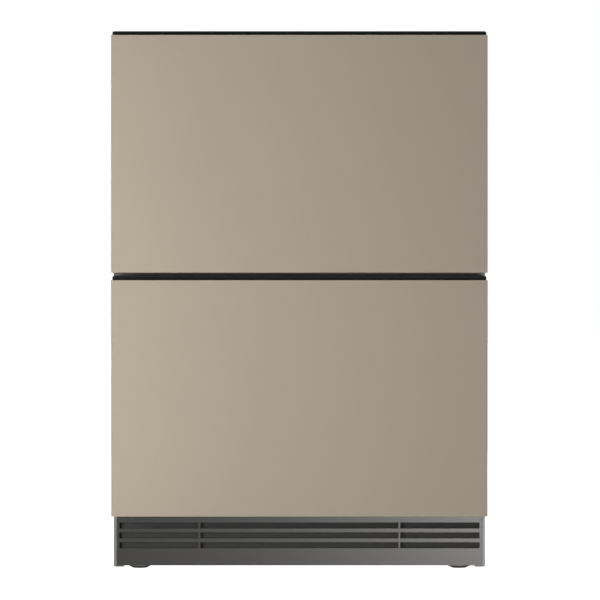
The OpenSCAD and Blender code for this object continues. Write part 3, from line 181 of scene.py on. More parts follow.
def surface(name, colour, gloss, metal=0.0, grain=400, stretch=(1, 1, 1), depth=0.00005, vary=0.06,
            strength=0.3, shine=0.5):
    """A finish whose gloss and relief follow a fine noise, and whose colour drifts with a broad one.

    gloss is (smoothest, roughest), grain the fine noise's scale, depth its height in metres."""
    material, shader, add, link = blank(name)
    fine = noise(add, link, coordinates(add, link, stretch), grain)
    broad = noise(add, link, coordinates(add, link), scale=6, detail=2)
    drift = spread(add, link, broad, 0, 1)
    shades = blend_colours(add, link, drift, tint(colour, 1 - vary), tint(colour, 1 + vary))
    link(shades, shader.inputs["Base Color"])
    link(spread(add, link, fine, *gloss), shader.inputs["Roughness"])
    shader.inputs["Metallic"].default_value = metal
    shader.inputs["Specular IOR Level"].default_value = shine
    relief(add, link, shader, fine, strength, depth)
    material.diffuse_color = (*colour, 1)
    return material


# %% [markdown]
# The drawers wear flat cabinet-maker's panels in a satin tan lacquer. A lacquered board isn't one
# dead colour: the film has a very fine orange-peel relief and the tone drifts over a hand's breadth. A greyer
# line of painted shade runs along the two side edges, where the eye sees the panel's outline. It is found
# from the distance to the panel's middle, so one material serves both panels.

# %% Tan lacquer
TAN = (0.440, 0.376, 0.297)
# Painted shade: a greyer colour for the panels' two side edges, where the rounded edge shows the outline.
EDGE_SHADE_COLOUR = (0.30, 0.27, 0.235)
PANEL_EASE = 0.0009
panel_low, panel_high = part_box("upper_overlay_panel")
PANEL_W = panel_high.x - panel_low.x


def tan_lacquer():
    material, shader, add, link = blank("tan_lacquer")
    vector = coordinates(add, link)
    broad = noise(add, link, vector, scale=5, detail=3)
    film = noise(add, link, vector, scale=900, detail=2)
    grain = noise(add, link, coordinates(add, link, (60, 60, 3)), scale=12, detail=5)
    tone = blend_colours(add, link, spread(add, link, broad, 0, 1), tint(TAN, 0.985), tint(TAN, 1.015))
    fibres = blend_colours(add, link, spread(add, link, grain, 0, 1), (0.985, 0.98, 0.975), (1, 1, 1))
    face = blend_colours(add, link, 1, tone, fibres, "MULTIPLY")
    axes = add("ShaderNodeSeparateXYZ")
    link(vector, axes.inputs["Vector"])
    off_middle = maths(add, link, "ABSOLUTE", axes.outputs["X"])
    # Painted shade: within PANEL_EASE of each side edge the colour turns greyer.
    at_edge = maths(add, link, "GREATER_THAN", off_middle, PANEL_W / 2 - PANEL_EASE)
    link(blend_colours(add, link, at_edge, face, EDGE_SHADE_COLOUR), shader.inputs["Base Color"])
    link(spread(add, link, broad, 0.50, 0.58), shader.inputs["Roughness"])
    shader.inputs["Specular IOR Level"].default_value = 0.1
    shader.inputs["Coat Weight"].default_value = 0.02
    shader.inputs["Coat Roughness"].default_value = 0.35
    relief(add, link, shader, film, strength=0.12, depth=0.00003)
    material.diffuse_color = (*TAN, 1)
    return material


# %% [markdown]
# The other finishes are those of a factory: zinc-coated sheet with its faint crystals, satin stainless
# bins, powder paint, moulded plastics, foam, copper and rubber. Zinc crystals are cells, so a Voronoi
# texture draws them; brushing is the stretched noise.

# %% Metal finishes
def zinc_sheet():
    material, shader, add, link = blank("zinc_sheet")
    vector = coordinates(add, link)
    cells = add("ShaderNodeTexVoronoi")
    cells.inputs["Scale"].default_value = 110
    link(vector, cells.inputs["Vector"])
    shade = add("ShaderNodeSeparateColor")
    link(cells.outputs["Color"], shade.inputs["Color"])
    tones = blend_colours(add, link, shade.outputs[0], (0.36, 0.37, 0.38), (0.45, 0.46, 0.475))
    link(tones, shader.inputs["Base Color"])
    link(spread(add, link, shade.outputs[1], 0.34, 0.46), shader.inputs["Roughness"])
    shader.inputs["Metallic"].default_value = 0.85
    relief(add, link, shader, noise(add, link, vector, scale=300), strength=0.2, depth=0.00004)
    material.diffuse_color = (0.41, 0.42, 0.43, 1)
    return material


MATERIALS = {
    "overlay": tan_lacquer(),
    "galvanised": zinc_sheet(),
    "cabinet_sheet": surface("dark_powder_paint", (0.10, 0.10, 0.105), (0.42, 0.55), grain=1400,
                             depth=0.00006),
    "front_sheet": surface("black_powder_paint", (0.016, 0.016, 0.016), (0.45, 0.6), grain=1400,
                           depth=0.00006, shine=0.2),
    "bin": surface("brushed_stainless", (0.42, 0.42, 0.412), (0.55, 0.66), 0.30, 90, (1, 14, 14),
                   0.00003, 0.03),
    "slide": surface("bright_zinc", (0.66, 0.67, 0.70), (0.2, 0.34), 1.0, 60, (12, 1, 12), 0.00002, 0.05),
    "screw": surface("screw_zinc", (0.64, 0.64, 0.63), (0.24, 0.4), 1.0, 900, depth=0.00002),
    "foot": surface("foot_zinc", (0.17, 0.17, 0.166), (0.55, 0.65), 0.6, 700, depth=0.00003, shine=0.3),
    "aluminium_fins": surface("fin_aluminium", (0.74, 0.75, 0.76), (0.3, 0.45), 1.0, 250, (1, 1, 8),
                              0.00003, 0.04),
    "copper": surface("drawn_copper", (0.62, 0.27, 0.15), (0.22, 0.42), 1.0, 180, depth=0.00003, vary=0.18),
    "motor": surface("motor_steel", (0.30, 0.31, 0.32), (0.38, 0.5), 0.8, 500),
    "base_paint": surface("metallic_grey_paint", (0.0205, 0.0198, 0.0192), (0.30, 0.36), 0.8, 1800,
                          depth=0.00002, vary=0.02),
    "rail_paint": surface("light_rail_paint", (0.195, 0.192, 0.186), (0.30, 0.38), 0.0, 1400,
                          depth=0.00003, vary=0.02, shine=0.28),
    "compressor": surface("black_enamel", (0.012, 0.012, 0.013), (0.2, 0.32), grain=60, depth=0.0002),
    "condenser": surface("black_coil_paint", (0.02, 0.02, 0.02), (0.35, 0.5), grain=500),
}
print("metal finishes:", len(MATERIALS))

# %% Plastic, rubber and foam finishes
MATERIALS.update({
    "liner": surface("white_moulded_liner", (0.80, 0.81, 0.81), (0.22, 0.3), grain=30, depth=0.0001,
                     vary=0.015),
    "cover_plastic": surface("white_cover_plastic", (0.76, 0.77, 0.77), (0.3, 0.4), grain=1200, vary=0.015),
    "cap": surface("black_cap_plastic", (0.008, 0.008, 0.008), (0.5, 0.62), grain=1500, depth=0.00004,
                   shine=0.09),
    "gasket": surface("grey_gasket_vinyl", (0.20, 0.20, 0.21), (0.5, 0.65), grain=700),
    "control_plastic": surface("grained_grey_plastic", (0.05, 0.05, 0.055), (0.45, 0.6), grain=1600,
                               depth=0.00008),
    "button": surface("silver_key_plastic", (0.48, 0.49, 0.50), (0.25, 0.35), 0.4, 1500),
    "probe": surface("white_probe_plastic", (0.78, 0.78, 0.75), (0.35, 0.5), grain=800),
    "black_plastic": surface("black_moulded_plastic", (0.02, 0.02, 0.02), (0.4, 0.55), grain=1300),
    "glide": surface("black_glide_plastic", (0.010, 0.010, 0.010), (0.6, 0.7), grain=1300, shine=0.2),
    "fan": surface("fan_plastic", (0.018, 0.018, 0.02), (0.3, 0.42), grain=900),
    "drain": surface("grey_drain_plastic", (0.58, 0.58, 0.56), (0.4, 0.55), grain=900),
    "mount_rubber": surface("mount_rubber", (0.018, 0.018, 0.018), (0.7, 0.85), grain=700, depth=0.0001),
    "foam": surface("hard_foam", (0.80, 0.69, 0.42), (0.85, 0.95), grain=260, depth=0.0006, vary=0.1,
                    strength=0.7),
})


def milky_lens():
    """Light passes the lens diffusely, so it glows a little in its own white."""
    material = surface("milky_lens", (0.84, 0.85, 0.83), (0.3, 0.4), grain=600, vary=0.01)
    shader = material.node_tree.nodes["Principled BSDF"]
    shader.inputs["Subsurface Weight"].default_value = 0.2
    shader.inputs["Emission Color"].default_value = (1, 0.97, 0.9, 1)
    shader.inputs["Emission Strength"].default_value = 0.15
    return material


MATERIALS["light"] = milky_lens()
print("finishes:", len(MATERIALS))

# %% [markdown]
# The air filter is a nylon net. From a step away it reads as an even dark grey, and close up as threads
# that cross. Two waves, one along X and one along Z, give the weave: a point is thread where either is high,
# and the holes between get a darker colour, painted shade for the dark seen through the net.
# Real threads would be far too fine a mesh. The control board gets its tracks from a Brick texture.

# %% Patterned finishes
def filter_net():
    material, shader, add, link = blank("filter_net")
    vector = coordinates(add, link)
    threads = []
    for axis in ("X", "Z"):
        wave = add("ShaderNodeTexWave")
        wave.bands_direction = axis
        wave.inputs["Scale"].default_value = 260
        link(vector, wave.inputs["Vector"])
        threads.append(wave.outputs["Fac"])
    woven = maths(add, link, "MAXIMUM", *threads)
    # Painted shade: the holes get the darker colour, for the dark seen through the net.
    shaded_holes_and_threads = blend_colours(add, link, woven, (0.021, 0.021, 0.0205), (0.057, 0.057, 0.056))
    link(shaded_holes_and_threads, shader.inputs["Base Color"])
    shader.inputs["Specular IOR Level"].default_value = 0.1
    link(spread(add, link, woven, 0.85, 0.6), shader.inputs["Roughness"])
    relief(add, link, shader, woven, strength=0.5, depth=0.0003)
    material.diffuse_color = (0.04, 0.04, 0.044, 1)
    return material


def circuit_board():
    material, shader, add, link = blank("circuit_board")
    bricks = add("ShaderNodeTexBrick")
    bricks.inputs["Scale"].default_value = 90
    bricks.inputs["Color1"].default_value = (0.01, 0.10, 0.035, 1)
    bricks.inputs["Color2"].default_value = (0.012, 0.13, 0.045, 1)
    bricks.inputs["Mortar"].default_value = (0.05, 0.26, 0.09, 1)
    turned = add("ShaderNodeMapping")
    turned.inputs["Rotation"].default_value = (math.radians(90), 0, 0)
    link(coordinates(add, link), turned.inputs["Vector"])
    link(turned.outputs["Vector"], bricks.inputs["Vector"])
    link(bricks.outputs["Color"], shader.inputs["Base Color"])
    link(spread(add, link, bricks.outputs["Fac"], 0.3, 0.5), shader.inputs["Roughness"])
    material.diffuse_color = (0.02, 0.15, 0.05, 1)
    return material


MATERIALS["filter"] = filter_net()
MATERIALS["board"] = circuit_board()
print("patterned finishes done")

# %% [markdown]
# Every CAD solid now gets the finish that its record names. A record's slot is a maker's word for a
# finish, so a dictionary from slot to material is all that it takes.

# %% Finish for every CAD solid
slot_of_node = {entry["node"]: entry["material_slot"] for entry in frame["record"]["subparts"]}
for name, node in nodes.items():
    node.data.materials.clear()
    node.data.materials.append(MATERIALS[slot_of_node[name]])
print("solids with a finish:", len(nodes))

# %% [markdown]
# No real edge is perfectly sharp, and it's the thin line of light on a rounded edge that tells the eye how
# thick a board or a sheet is. A copy of the CAD solid keeps its shape and place. Its triangles are merged
# into flat faces first, because a bevel would otherwise follow every diagonal, and then its edges are
# rounded. Round solids only need to be shaded as one smooth skin.

# %% Helpers for rounded copies
SAME_POINT = 0.00001
SAME_PLANE = math.radians(0.5)
CORNER = math.radians(40)


def link_mesh(name, mesh):
    piece = bpy.data.objects.new(name, mesh)
    scene.collection.objects.link(piece)
    return piece


def bake(piece):
    """Turns a piece with modifiers into one plain mesh."""
    evaluated = piece.evaluated_get(bpy.context.evaluated_depsgraph_get())
    mesh = bpy.data.meshes.new_from_object(evaluated)
    old = piece.data
    piece.modifiers.clear()
    piece.data = mesh
    bpy.data.meshes.remove(old)


def shade(piece, angle=30):
    """Shades a piece as one smooth skin, with a sharp line where it turns by more than angle degrees."""
    piece.data.polygons.foreach_set("use_smooth", [True] * len(piece.data.polygons))
    piece.data.set_sharp_from_angle(angle=math.radians(angle))


def weigh_normals(piece, keep_sharp):
    """Large faces set the normals, so that flat faces look flat and only the edge catches the light."""
    weighted = piece.modifiers.new("flat faces", "WEIGHTED_NORMAL")
    weighted.weight = 100
    weighted.keep_sharp = keep_sharp
    bake(piece)


def merged_copy(node, prefix):
    mesh = nodes[node].data.copy()
    made = bmesh.new()
    made.from_mesh(mesh)
    bmesh.ops.remove_doubles(made, verts=made.verts, dist=SAME_POINT)
    bmesh.ops.dissolve_limit(made, angle_limit=SAME_PLANE, verts=made.verts, edges=made.edges)
    made.to_mesh(mesh)
    made.free()
    return link_mesh(prefix + node, mesh)


def stand_in(piece, node):
    """The piece takes the node's place, on its body."""
    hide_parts(node)
    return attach(piece, body_of_node[node])


def eased(node, radius):
    """Stands in for a node with its edges rounded."""
    piece = merged_copy(node, "eased_")
    piece.data.polygons.foreach_set("use_smooth", [True] * len(piece.data.polygons))
    bevel = piece.modifiers.new("edges", "BEVEL")
    bevel.width = radius
    bevel.segments = 2
    bevel.limit_method = "ANGLE"
    bevel.angle_limit = CORNER
    bevel.use_clamp_overlap = True
    weigh_normals(piece, keep_sharp=False)
    return stand_in(piece, node)


def smooth(node):
    """Stands in for a node with a smooth skin, in which a fan's flat blades stay flat."""
    piece = merged_copy(node, "smooth_")
    shade(piece)
    weigh_normals(piece, keep_sharp=True)
    return stand_in(piece, node)


# %% Rounded edges on what shows
EDGES = {
    "upper_overlay_panel": PANEL_EASE, "lower_overlay_panel": PANEL_EASE,
    "upper_top_cap": 0.0006, "lower_top_cap": 0.0006,
    "upper_front_shell": 0.0004, "lower_front_shell": 0.0004,
    "side_panel_left": 0.0004, "side_panel_right": 0.0004, "top_panel": 0.0004, "back_panel": 0.0004,
    "base_frame": 0.0005, "toe_grille": 0.00015, "mullion": 0.0004,
    "upper_bin": 0.0004, "lower_bin": 0.0004,
    "upper_front_liner": 0.0007, "lower_front_liner": 0.0007,
    "control_housing": 0.0008, "light_bar": 0.0012, "evaporator_cover": 0.0006,
    "junction_box": 0.0008, "rear_cover": 0.0004, "base_pan": 0.0004,
    "outer_slide_rails": 0.0002, "upper_inner_rails": 0.0002, "lower_inner_rails": 0.0002,
}
for node, radius in EDGES.items():
    piece = eased(node, radius)
    print(piece.name, len(piece.data.polygons), "faces")

# %% Smooth skins on what is round
ROUND = [
    "compressor", "compressor_mounts", "condenser_fan", "evaporator_fan", "condenser_fan_motor",
    "evaporator_fan_motor", "refrigerant_lines", "evaporator_coil", "condenser_coil",
    "temperature_probe", "power_gland", "condensate_drain", "terminal_cover",
    "upper_middle_rails", "lower_middle_rails",
]
for node in ROUND:
    piece = smooth(node)
    print(piece.name, len(piece.data.polygons), "faces")

# %% [markdown]
# A levelling foot is a screw: a zinc disc on a dark plastic glide, a hexagon for a spanner and a threaded
# stem. The thread is a ridge that climbs by its pitch at each turn, which is what the Spiral curve node
# gives. The tree below sweeps a small triangle along it, so radius, pitch and length stay numbers that can
# be changed. The disc is a lathe shape: its half outline is turned round the axis.

# %% Helpers for Geometry Nodes
def node_tree(name, inputs):
    """A modifier tree with named inputs, which are a list of (name, socket type, default)."""
    tree = bpy.data.node_groups.new(name, "GeometryNodeTree")
    tree.interface.new_socket("Geometry", in_out="INPUT", socket_type="NodeSocketGeometry")
    tree.interface.new_socket("Geometry", in_out="OUTPUT", socket_type="NodeSocketGeometry")
    for label, kind, default in inputs:
        socket = tree.interface.new_socket(label, in_out="INPUT", socket_type=kind)
        if default is not None:
            socket.default_value = default
    given = tree.nodes.new("NodeGroupInput")
    out = tree.nodes.new("NodeGroupOutput")
    return tree, given, out, tree.nodes.new, tree.links.new


def close_tree(add, link, geometry, given, out):
    """Instances become real mesh, because the export drops them, and every face gets the finish."""
    real = add("GeometryNodeRealizeInstances")
    paint = add("GeometryNodeSetMaterial")
    link(geometry, real.inputs["Geometry"])
    link(real.outputs["Geometry"], paint.inputs["Geometry"])
    link(given.outputs["Finish"], paint.inputs["Material"])
    link(paint.outputs["Geometry"], out.inputs["Geometry"])


def grow(name, tree, values, mesh=None):
    """An object that runs the tree once with these values, then keeps the result as a plain mesh."""
    piece = link_mesh(name, mesh or bpy.data.meshes.new(name))
    modifier = piece.modifiers.new("tree", "NODES")
    modifier.node_group = tree
    for item in tree.interface.items_tree:
        if item.item_type == "SOCKET" and item.in_out == "INPUT" and item.name in values:
            modifier[item.identifier] = values[item.name]
    bake(piece)
    print(name, len(piece.data.polygons), "faces")
    return piece


# %% The thread's tree
THREAD_R = 0.0046
PITCH = 0.0015
RIDGE = 0.42


def thread_tree():
    """A triangle swept along a spiral. Its radius is RIDGE times the pitch."""
    tree, given, out, add, link = node_tree("screw_thread", [
        ("Radius", "NodeSocketFloat", THREAD_R), ("Pitch", "NodeSocketFloat", PITCH),
        ("Turns", "NodeSocketFloat", 30.0), ("Finish", "NodeSocketMaterial", None)])
    path = add("GeometryNodeCurveSpiral")
    path.inputs["Resolution"].default_value = 20
    link(given.outputs["Turns"], path.inputs["Rotations"])
    link(given.outputs["Radius"], path.inputs["Start Radius"])
    link(given.outputs["Radius"], path.inputs["End Radius"])
    climb = maths(add, link, "MULTIPLY", given.outputs["Pitch"], given.outputs["Turns"])
    link(climb, path.inputs["Height"])
    profile = add("GeometryNodeCurvePrimitiveCircle")
    profile.inputs["Resolution"].default_value = 3
    link(maths(add, link, "MULTIPLY", given.outputs["Pitch"], RIDGE), profile.inputs["Radius"])
    sweep = add("GeometryNodeCurveToMesh")
    sweep.inputs["Fill Caps"].default_value = True
    link(path.outputs["Curve"], sweep.inputs["Curve"])
    link(profile.outputs["Curve"], sweep.inputs["Profile Curve"])
    close_tree(add, link, sweep.outputs["Mesh"], given, out)
    return tree


# %% The lathe
def lathe(outline, steps=64):
    """Turns a half outline of (radius, height) points round the Z axis. Points on the axis close it."""
    made = bmesh.new()
    rings = []
    for radius, height in outline:
        if radius == 0:
            rings.append([made.verts.new((0, 0, height))])
        else:
            rings.append([made.verts.new((radius * math.cos(a), radius * math.sin(a), height))
                          for a in (2 * math.pi * i / steps for i in range(steps))])
    for below, above in zip(rings, rings[1:]):
        for i in range(steps):
            corners = [below[i % len(below)], below[(i + 1) % len(below)],
                       above[(i + 1) % len(above)], above[i % len(above)]]
            made.faces.new(list(dict.fromkeys(corners)))
    bmesh.ops.recalc_face_normals(made, faces=made.faces)
    return made


# %% Levelling feet
foot_low, foot_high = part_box("foot_front_left")
DISC_R = (foot_high.x - foot_low.x) / 2
STEM_TOP = foot_high.z
# Radii, and heights above the floor.
GLIDE_H = 0.0036
FLAT_R = 0.011
RIM_R = DISC_R - 0.0002
DISC_TOP = 0.007
NUT_R = DISC_R * 0.7
NUT_END_R = DISC_R * 0.66
NUT_BOTTOM = 0.0068
NUT_TOP = 0.0117
STEM_BOTTOM = 0.0116
STEM_TAPER = 0.0008
THREAD_BOTTOM = 0.0128
PLAIN_END = 0.002
THREAD = thread_tree()


def levelling_foot(node):
    low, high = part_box(node)
    centre = Vector(((low.x + high.x) / 2, (low.y + high.y) / 2, 0))
    glide = lathe([(0, 0), (FLAT_R, 0), (FLAT_R + 0.003, 0.0013), (DISC_R - 0.0004, 0.0028),
                   (DISC_R, 0.0033), (DISC_R, GLIDE_H), (0, GLIDE_H)])
    disc = lathe([(0, GLIDE_H), (RIM_R, GLIDE_H), (RIM_R, 0.0061), (RIM_R - 0.0003, 0.0067),
                  (RIM_R - 0.001, DISC_TOP), (0, DISC_TOP)])
    stem = lathe([(0, STEM_BOTTOM), (THREAD_R, STEM_BOTTOM), (THREAD_R, STEM_TOP - STEM_TAPER),
                  (THREAD_R - STEM_TAPER, STEM_TOP), (0, STEM_TOP)], steps=32)
    nut = lathe([(0, NUT_BOTTOM), (NUT_END_R, NUT_BOTTOM), (NUT_R, NUT_BOTTOM + 0.0006),
                 (NUT_R, NUT_TOP - 0.0005), (NUT_END_R, NUT_TOP), (0, NUT_TOP)], steps=6)
    whole = bmesh.new()
    for part in (glide, disc, stem, nut):
        part.transform(Matrix.Translation(centre))
        for face in part.faces:
            face.material_index = 0 if part is glide else 1
        scrap = bpy.data.meshes.new("scrap")
        part.to_mesh(scrap)
        whole.from_mesh(scrap)
        part.free()
        bpy.data.meshes.remove(scrap)
    mesh = bpy.data.meshes.new("levelling_" + node)
    whole.to_mesh(mesh)
    whole.free()
    mesh.materials.append(MATERIALS["glide"])
    mesh.materials.append(MATERIALS["foot"])
    piece = link_mesh("levelling_" + node, mesh)
    shade(piece)
    stand_in(piece, node)
    turns = (STEM_TOP - THREAD_BOTTOM - PLAIN_END) / PITCH
    thread = grow("thread_" + node, THREAD, {"Radius": THREAD_R, "Pitch": PITCH, "Turns": turns,
                                             "Finish": MATERIALS["foot"]})
    thread.data.transform(Matrix.Translation(centre + Vector((0, 0, THREAD_BOTTOM))))
    shade(thread)
    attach(thread, body_of_node[node])


for node in ("foot_front_left", "foot_front_right", "foot_rear_left", "foot_rear_right"):
    levelling_foot(node)

# %% [markdown]
# A drawer's gasket is a vinyl profile: a foot that holds it to the front's liner, a narrow waist that lets
# it give, and a broad nose with the magnet. Its cross section is drawn once, as half an outline that is
# mirrored, and carried round the drawer's front with mitred corners, as the real one is welded. It stays
# inside the block that stands for it in the CAD model.

# %% Magnetic gaskets
GASKET_W = 0.016
SOFT_EDGE = 0.00035
# From the gasket's middle outwards as a part of its width, and back from its front as a part of its depth.
HALF_SECTION = [(0.40, 0.0), (0.40, 0.16), (0.22, 0.24), (0.22, 0.34),
                (0.50, 0.46), (0.50, 0.92), (0.44, 1.0)]
SECTION = [(0.5 + u, v) for u, v in HALF_SECTION] + [(0.5 - u, v) for u, v in reversed(HALF_SECTION)]


def gasket(node):
    low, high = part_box(node)
    depth = high.y - low.y
    made = bmesh.new()
    rings = []
    for x, inward_x, z, inward_z in ((low.x, 1, low.z, 1), (high.x, -1, low.z, 1),
                                     (high.x, -1, high.z, -1), (low.x, 1, high.z, -1)):
        rings.append([made.verts.new((x + inward_x * u * GASKET_W, low.y + v * depth,
                                      z + inward_z * u * GASKET_W)) for u, v in SECTION])
    for ring, following in zip(rings, rings[1:] + rings[:1]):
        for i in range(len(SECTION)):
            j = (i + 1) % len(SECTION)
            made.faces.new((ring[i], ring[j], following[j], following[i]))
    bmesh.ops.recalc_face_normals(made, faces=made.faces)
    mesh = bpy.data.meshes.new("magnetic_" + node)
    made.to_mesh(mesh)
    made.free()
    mesh.materials.append(MATERIALS["gasket"])
    piece = link_mesh("magnetic_" + node, mesh)
    bevel = piece.modifiers.new("soft", "BEVEL")
    bevel.width = SOFT_EDGE
    bevel.segments = 2
    bake(piece)
    shade(piece, angle=60)
    stand_in(piece, node)
    print(piece.name, len(piece.data.polygons), "faces")


for node in ("upper_gasket", "lower_gasket"):
    gasket(node)

# %% [markdown]
# Pan-head screws hold the rear cover. One tree makes a head, joins two bars to a cross, cuts that out of the
# head with a Boolean, and puts a copy on each point it's given. The points come from the CAD model's own
# plain screw heads, so each screw sits where the construction has one.

# %% Screws with a cross recess
RECESS_W = 0.0011
# How long the recess and how wide the head's top is, as a part of the head's diameter.
RECESS_LENGTH = 0.55
HEAD_TOP = 0.8


def screw_tree():
    """A head with its recess, copied onto each point of the mesh that carries the tree."""
    tree, given, out, add, link = node_tree("cross_screws", [
        ("Head diameter", "NodeSocketFloat", 0.008), ("Head height", "NodeSocketFloat", 0.0026),
        ("Recess width", "NodeSocketFloat", RECESS_W), ("Finish", "NodeSocketMaterial", None)])
    radius = maths(add, link, "MULTIPLY", given.outputs["Head diameter"], 0.5)
    head = add("GeometryNodeMeshCone")
    head.inputs["Vertices"].default_value = 28
    link(maths(add, link, "MULTIPLY", radius, HEAD_TOP), head.inputs["Radius Top"])
    link(radius, head.inputs["Radius Bottom"])
    link(given.outputs["Head height"], head.inputs["Depth"])
    arm = maths(add, link, "MULTIPLY", given.outputs["Head diameter"], RECESS_LENGTH)
    lift = add("ShaderNodeCombineXYZ")
    link(given.outputs["Head height"], lift.inputs["Z"])
    cross = add("GeometryNodeMeshBoolean")
    cross.operation = "UNION"
    cross.solver = "MANIFOLD"
    recess = add("GeometryNodeMeshBoolean")
    recess.operation = "DIFFERENCE"
    recess.solver = "MANIFOLD"
    link(head.outputs["Mesh"], recess.inputs["Mesh 1"])
    link(cross.outputs["Mesh"], recess.inputs["Mesh 2"])
    for turned in (False, True):
        size = add("ShaderNodeCombineXYZ")
        link(arm, size.inputs["Y" if turned else "X"])
        link(given.outputs["Recess width"], size.inputs["X" if turned else "Y"])
        link(given.outputs["Head height"], size.inputs["Z"])
        bar = add("GeometryNodeMeshCube")
        link(size.outputs[0], bar.inputs["Size"])
        raised = add("GeometryNodeTransform")
        link(bar.outputs["Mesh"], raised.inputs["Geometry"])
        link(lift.outputs[0], raised.inputs["Translation"])
        link(raised.outputs["Geometry"], cross.inputs["Mesh 2"])
    copies = add("GeometryNodeInstanceOnPoints")
    copies.inputs["Rotation"].default_value = (math.radians(-90), 0, 0)
    link(given.outputs["Geometry"], copies.inputs["Points"])
    link(recess.outputs["Mesh"], copies.inputs["Instance"])
    close_tree(add, link, copies.outputs["Instances"], given, out)
    return tree


# %% Where the screws sit
def boxes_of_solids(node):
    """The box of each separate solid in a node, as its lowest and highest corner."""
    made = bmesh.new()
    made.from_mesh(nodes[node].data)
    bmesh.ops.remove_doubles(made, verts=made.verts, dist=SAME_POINT)
    seen = set()
    boxes = []
    for first in made.verts:
        if first in seen:
            continue
        seen.add(first)
        solid = []
        waiting = [first]
        while waiting:
            vert = waiting.pop()
            solid.append(vert.co.copy())
            for edge in vert.link_edges:
                other = edge.other_vert(vert)
                if other not in seen:
                    seen.add(other)
                    waiting.append(other)
        boxes.append([Vector([pick(corner[i] for corner in solid) for i in range(3)]) for pick in (min, max)])
    made.free()
    return boxes


screw_boxes = boxes_of_solids("cabinet_screws")
head_size = screw_boxes[0][1] - screw_boxes[0][0]
points = bpy.data.meshes.new("screw_points")
points.from_pydata([((a.x + b.x) / 2, a.y, (a.z + b.z) / 2) for a, b in screw_boxes], [], [])
screws = grow("cover_screws", screw_tree(), {
    "Head diameter": head_size.x, "Head height": head_size.y, "Recess width": RECESS_W,
    "Finish": MATERIALS["screw"]}, points)
shade(screws)
stand_in(screws, "cabinet_screws")
print("screws:", len(screw_boxes))

# %% [markdown]
# Both heat exchangers are packs of thin fins on a tube. The CAD model has a few thick ones, enough to
# carry the tubes. Here the gaps are filled with the thin fins of the real thing: a line of plates, each
# a copy of one thin box, spread evenly between the two ends.

# %% Thin fins
FIN_T = 0.0003
X_AXIS, Z_AXIS = 0, 2


def fin_tree():
    tree, given, out, add, link = node_tree("fin_pack", [
        ("Count", "NodeSocketInt", 60), ("Size", "NodeSocketVector", (FIN_T, 0.1, 0.05)),
        ("Start", "NodeSocketVector", (0, 0, 0)), ("Step", "NodeSocketVector", (0.005, 0, 0)),
        ("Finish", "NodeSocketMaterial", None)])
    row = add("GeometryNodeMeshLine")
    link(given.outputs["Count"], row.inputs["Count"])
    link(given.outputs["Start"], row.inputs["Start Location"])
    link(given.outputs["Step"], row.inputs["Offset"])
    fin = add("GeometryNodeMeshCube")
    link(given.outputs["Size"], fin.inputs["Size"])
    copies = add("GeometryNodeInstanceOnPoints")
    link(row.outputs["Mesh"], copies.inputs["Points"])
    link(fin.outputs["Mesh"], copies.inputs["Instance"])
    close_tree(add, link, copies.outputs["Instances"], given, out)
    return tree


FINS = fin_tree()


def fin_pack(name, node, low, high, axis, count, slot):
    """Fins between two corners, spread along axis."""
    size = high - low
    start = (low + high) / 2
    step = Vector((0, 0, 0))
    step[axis] = size[axis] / (count - 1)
    start[axis] = low[axis]
    size[axis] = FIN_T
    pack = grow(name, FINS, {"Count": count, "Size": tuple(size), "Start": tuple(start), "Step": tuple(step),
                             "Finish": MATERIALS[slot]})
    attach(pack, body_of_node[node])


# %% The evaporator's fins, between end plates that reach down as feet
# A thin fin ends a little inside the thick ones, and the coil's box also holds bends beyond the fins.
SHORTER = 0.0003
EVAPORATOR_HALF_W = 0.1985
EVAPORATOR_FOOT_H = 0.0105
EVAPORATOR_TOP_GAP = 0.0005
coil_low, coil_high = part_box("evaporator_coil")
fin_pack("evaporator_fins", "evaporator_coil",
         Vector((-EVAPORATOR_HALF_W, coil_low.y + SHORTER, coil_low.z + EVAPORATOR_FOOT_H)),
         Vector((EVAPORATOR_HALF_W, coil_high.y - SHORTER, coil_high.z - EVAPORATOR_TOP_GAP)),
         axis=X_AXIS, count=100, slot="aluminium_fins")

# %% The condenser's fins, level with the shroud, because its tubes' bends stand out above and below
CONDENSER_T = 0.05
END_PLATE_T = 0.0018
# Both down from the shroud's top.
LOWEST_FIN = 0.1905
HIGHEST_FIN = 0.0025
shroud_low, shroud_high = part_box("condenser_shroud")
coil_low, coil_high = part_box("condenser_coil")
fins_from_x = coil_low.x + SHORTER
fins_to_x = coil_low.x + CONDENSER_T - SHORTER
fin_pack("condenser_fins", "condenser_coil",
         Vector((fins_from_x, shroud_low.y + END_PLATE_T, shroud_high.z - LOWEST_FIN)),
         Vector((fins_to_x, shroud_high.y - END_PLATE_T, shroud_high.z - HIGHEST_FIN)),
         axis=Z_AXIS, count=95, slot="condenser")

# %% [markdown]
# The photograph has a pure white ground, as a catalogue picture does. A pale floor and a pale sky give it
# without flooding the object: what the camera and mirrors see is set to white through Light Path, while the
# light that reaches the object stays low.

# %% Floor
def seen_directly(add, link):
    """1 for what the camera sees straight, in a mirror or through glass, and 0 for light on its way."""
    path = add("ShaderNodeLightPath")
    either = path.outputs["Is Camera Ray"]
    for kind in ("Is Glossy Ray", "Is Transmission Ray"):
        either = maths(add, link, "MAXIMUM", either, path.outputs[kind])
    return either


def pale_floor():
    material, shader, add, link = blank("pale_floor")
    speckle = noise(add, link, coordinates(add, link), scale=40)
    greys = blend_colours(add, link, speckle, (0.86, 0.86, 0.86), (0.90, 0.90, 0.90))
    link(greys, shader.inputs["Base Color"])
    shader.inputs["Roughness"].default_value = 0.9
    shader.inputs["Emission Color"].default_value = (1, 1, 1, 1)
    link(seen_directly(add, link), shader.inputs["Emission Strength"])
    return material


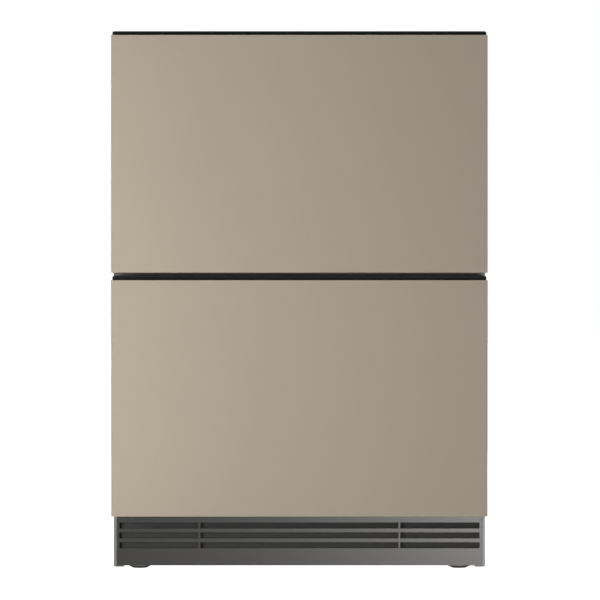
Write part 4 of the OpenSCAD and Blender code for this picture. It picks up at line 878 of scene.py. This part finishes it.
FLOOR_REACH = 30
floor_corners = [(x * FLOOR_REACH, y * FLOOR_REACH, 0) for x, y in ((-1, -1), (1, -1), (1, 1), (-1, 1))]
floor_mesh = bpy.data.meshes.new("floor")
floor_mesh.from_pydata(floor_corners, [], [(0, 1, 2, 3)])
floor_mesh.materials.append(pale_floor())
floor = link_mesh("floor", floor_mesh)

# %% Sky
SKY_LIGHT = 0.096
SKY_SEEN = 1.0
world = bpy.data.worlds.new("pale_sky")
scene.world = world
world.use_nodes = True
sky = world.node_tree.nodes["Background"]
add, link = world.node_tree.nodes.new, world.node_tree.links.new
level = add("ShaderNodeMapRange")
level.inputs["To Min"].default_value = SKY_LIGHT
level.inputs["To Max"].default_value = SKY_SEEN
link(seen_directly(add, link), level.inputs["Value"])
link(level.outputs["Result"], sky.inputs["Strength"])
sky.inputs["Color"].default_value = (1, 1, 1, 1)
scene.view_settings.view_transform = "Standard"
print("floor and sky ready")

# %% [markdown]
# In the photograph the panels are a little lighter at the left, and the metal toe grille is clearly lighter
# at the right. A matt surface answers to where light comes from, a metal one to what it mirrors towards the
# camera. So a soft key stands well to the left, and a small panel of light stands low, to the right and
# closer than the camera, for the mirror images alone: the metal picks it up, and the lacquer hardly does.
# Two more, overhead and behind, light the top and the back.

# %% Lamps
def soft_box(name, place, aim, size, power, only_gloss=False):
    data = bpy.data.lights.new(name, "AREA")
    data.shape = "RECTANGLE"
    data.size, data.size_y = size
    data.energy = power
    lamp = bpy.data.objects.new(name, data)
    lamp.location = place
    lamp.rotation_euler = (Vector(aim) - Vector(place)).to_track_quat("-Z", "Y").to_euler()
    lamp.visible_camera = False
    lamp.visible_diffuse = not only_gloss
    scene.collection.objects.link(lamp)
    print(name, power, "W")


soft_box("key_left", (-1.4, -1.62, 0.34), (0, FRONT_Y, 0.40), (0.8, 0.8), 30.8)
soft_box("gloss_right", (0.8, -4.0, 0.10), (0.2, FRONT_Y, 0.05), (0.4, 0.3), 112, only_gloss=True)
soft_box("overhead", (0, -0.4, 3.2), (0, 0, 0.8), (1.6, 1.6), 22)
soft_box("behind", (1.5, 3.6, 1.8), (0, 0.3, 0.5), (1.8, 1.8), 42)
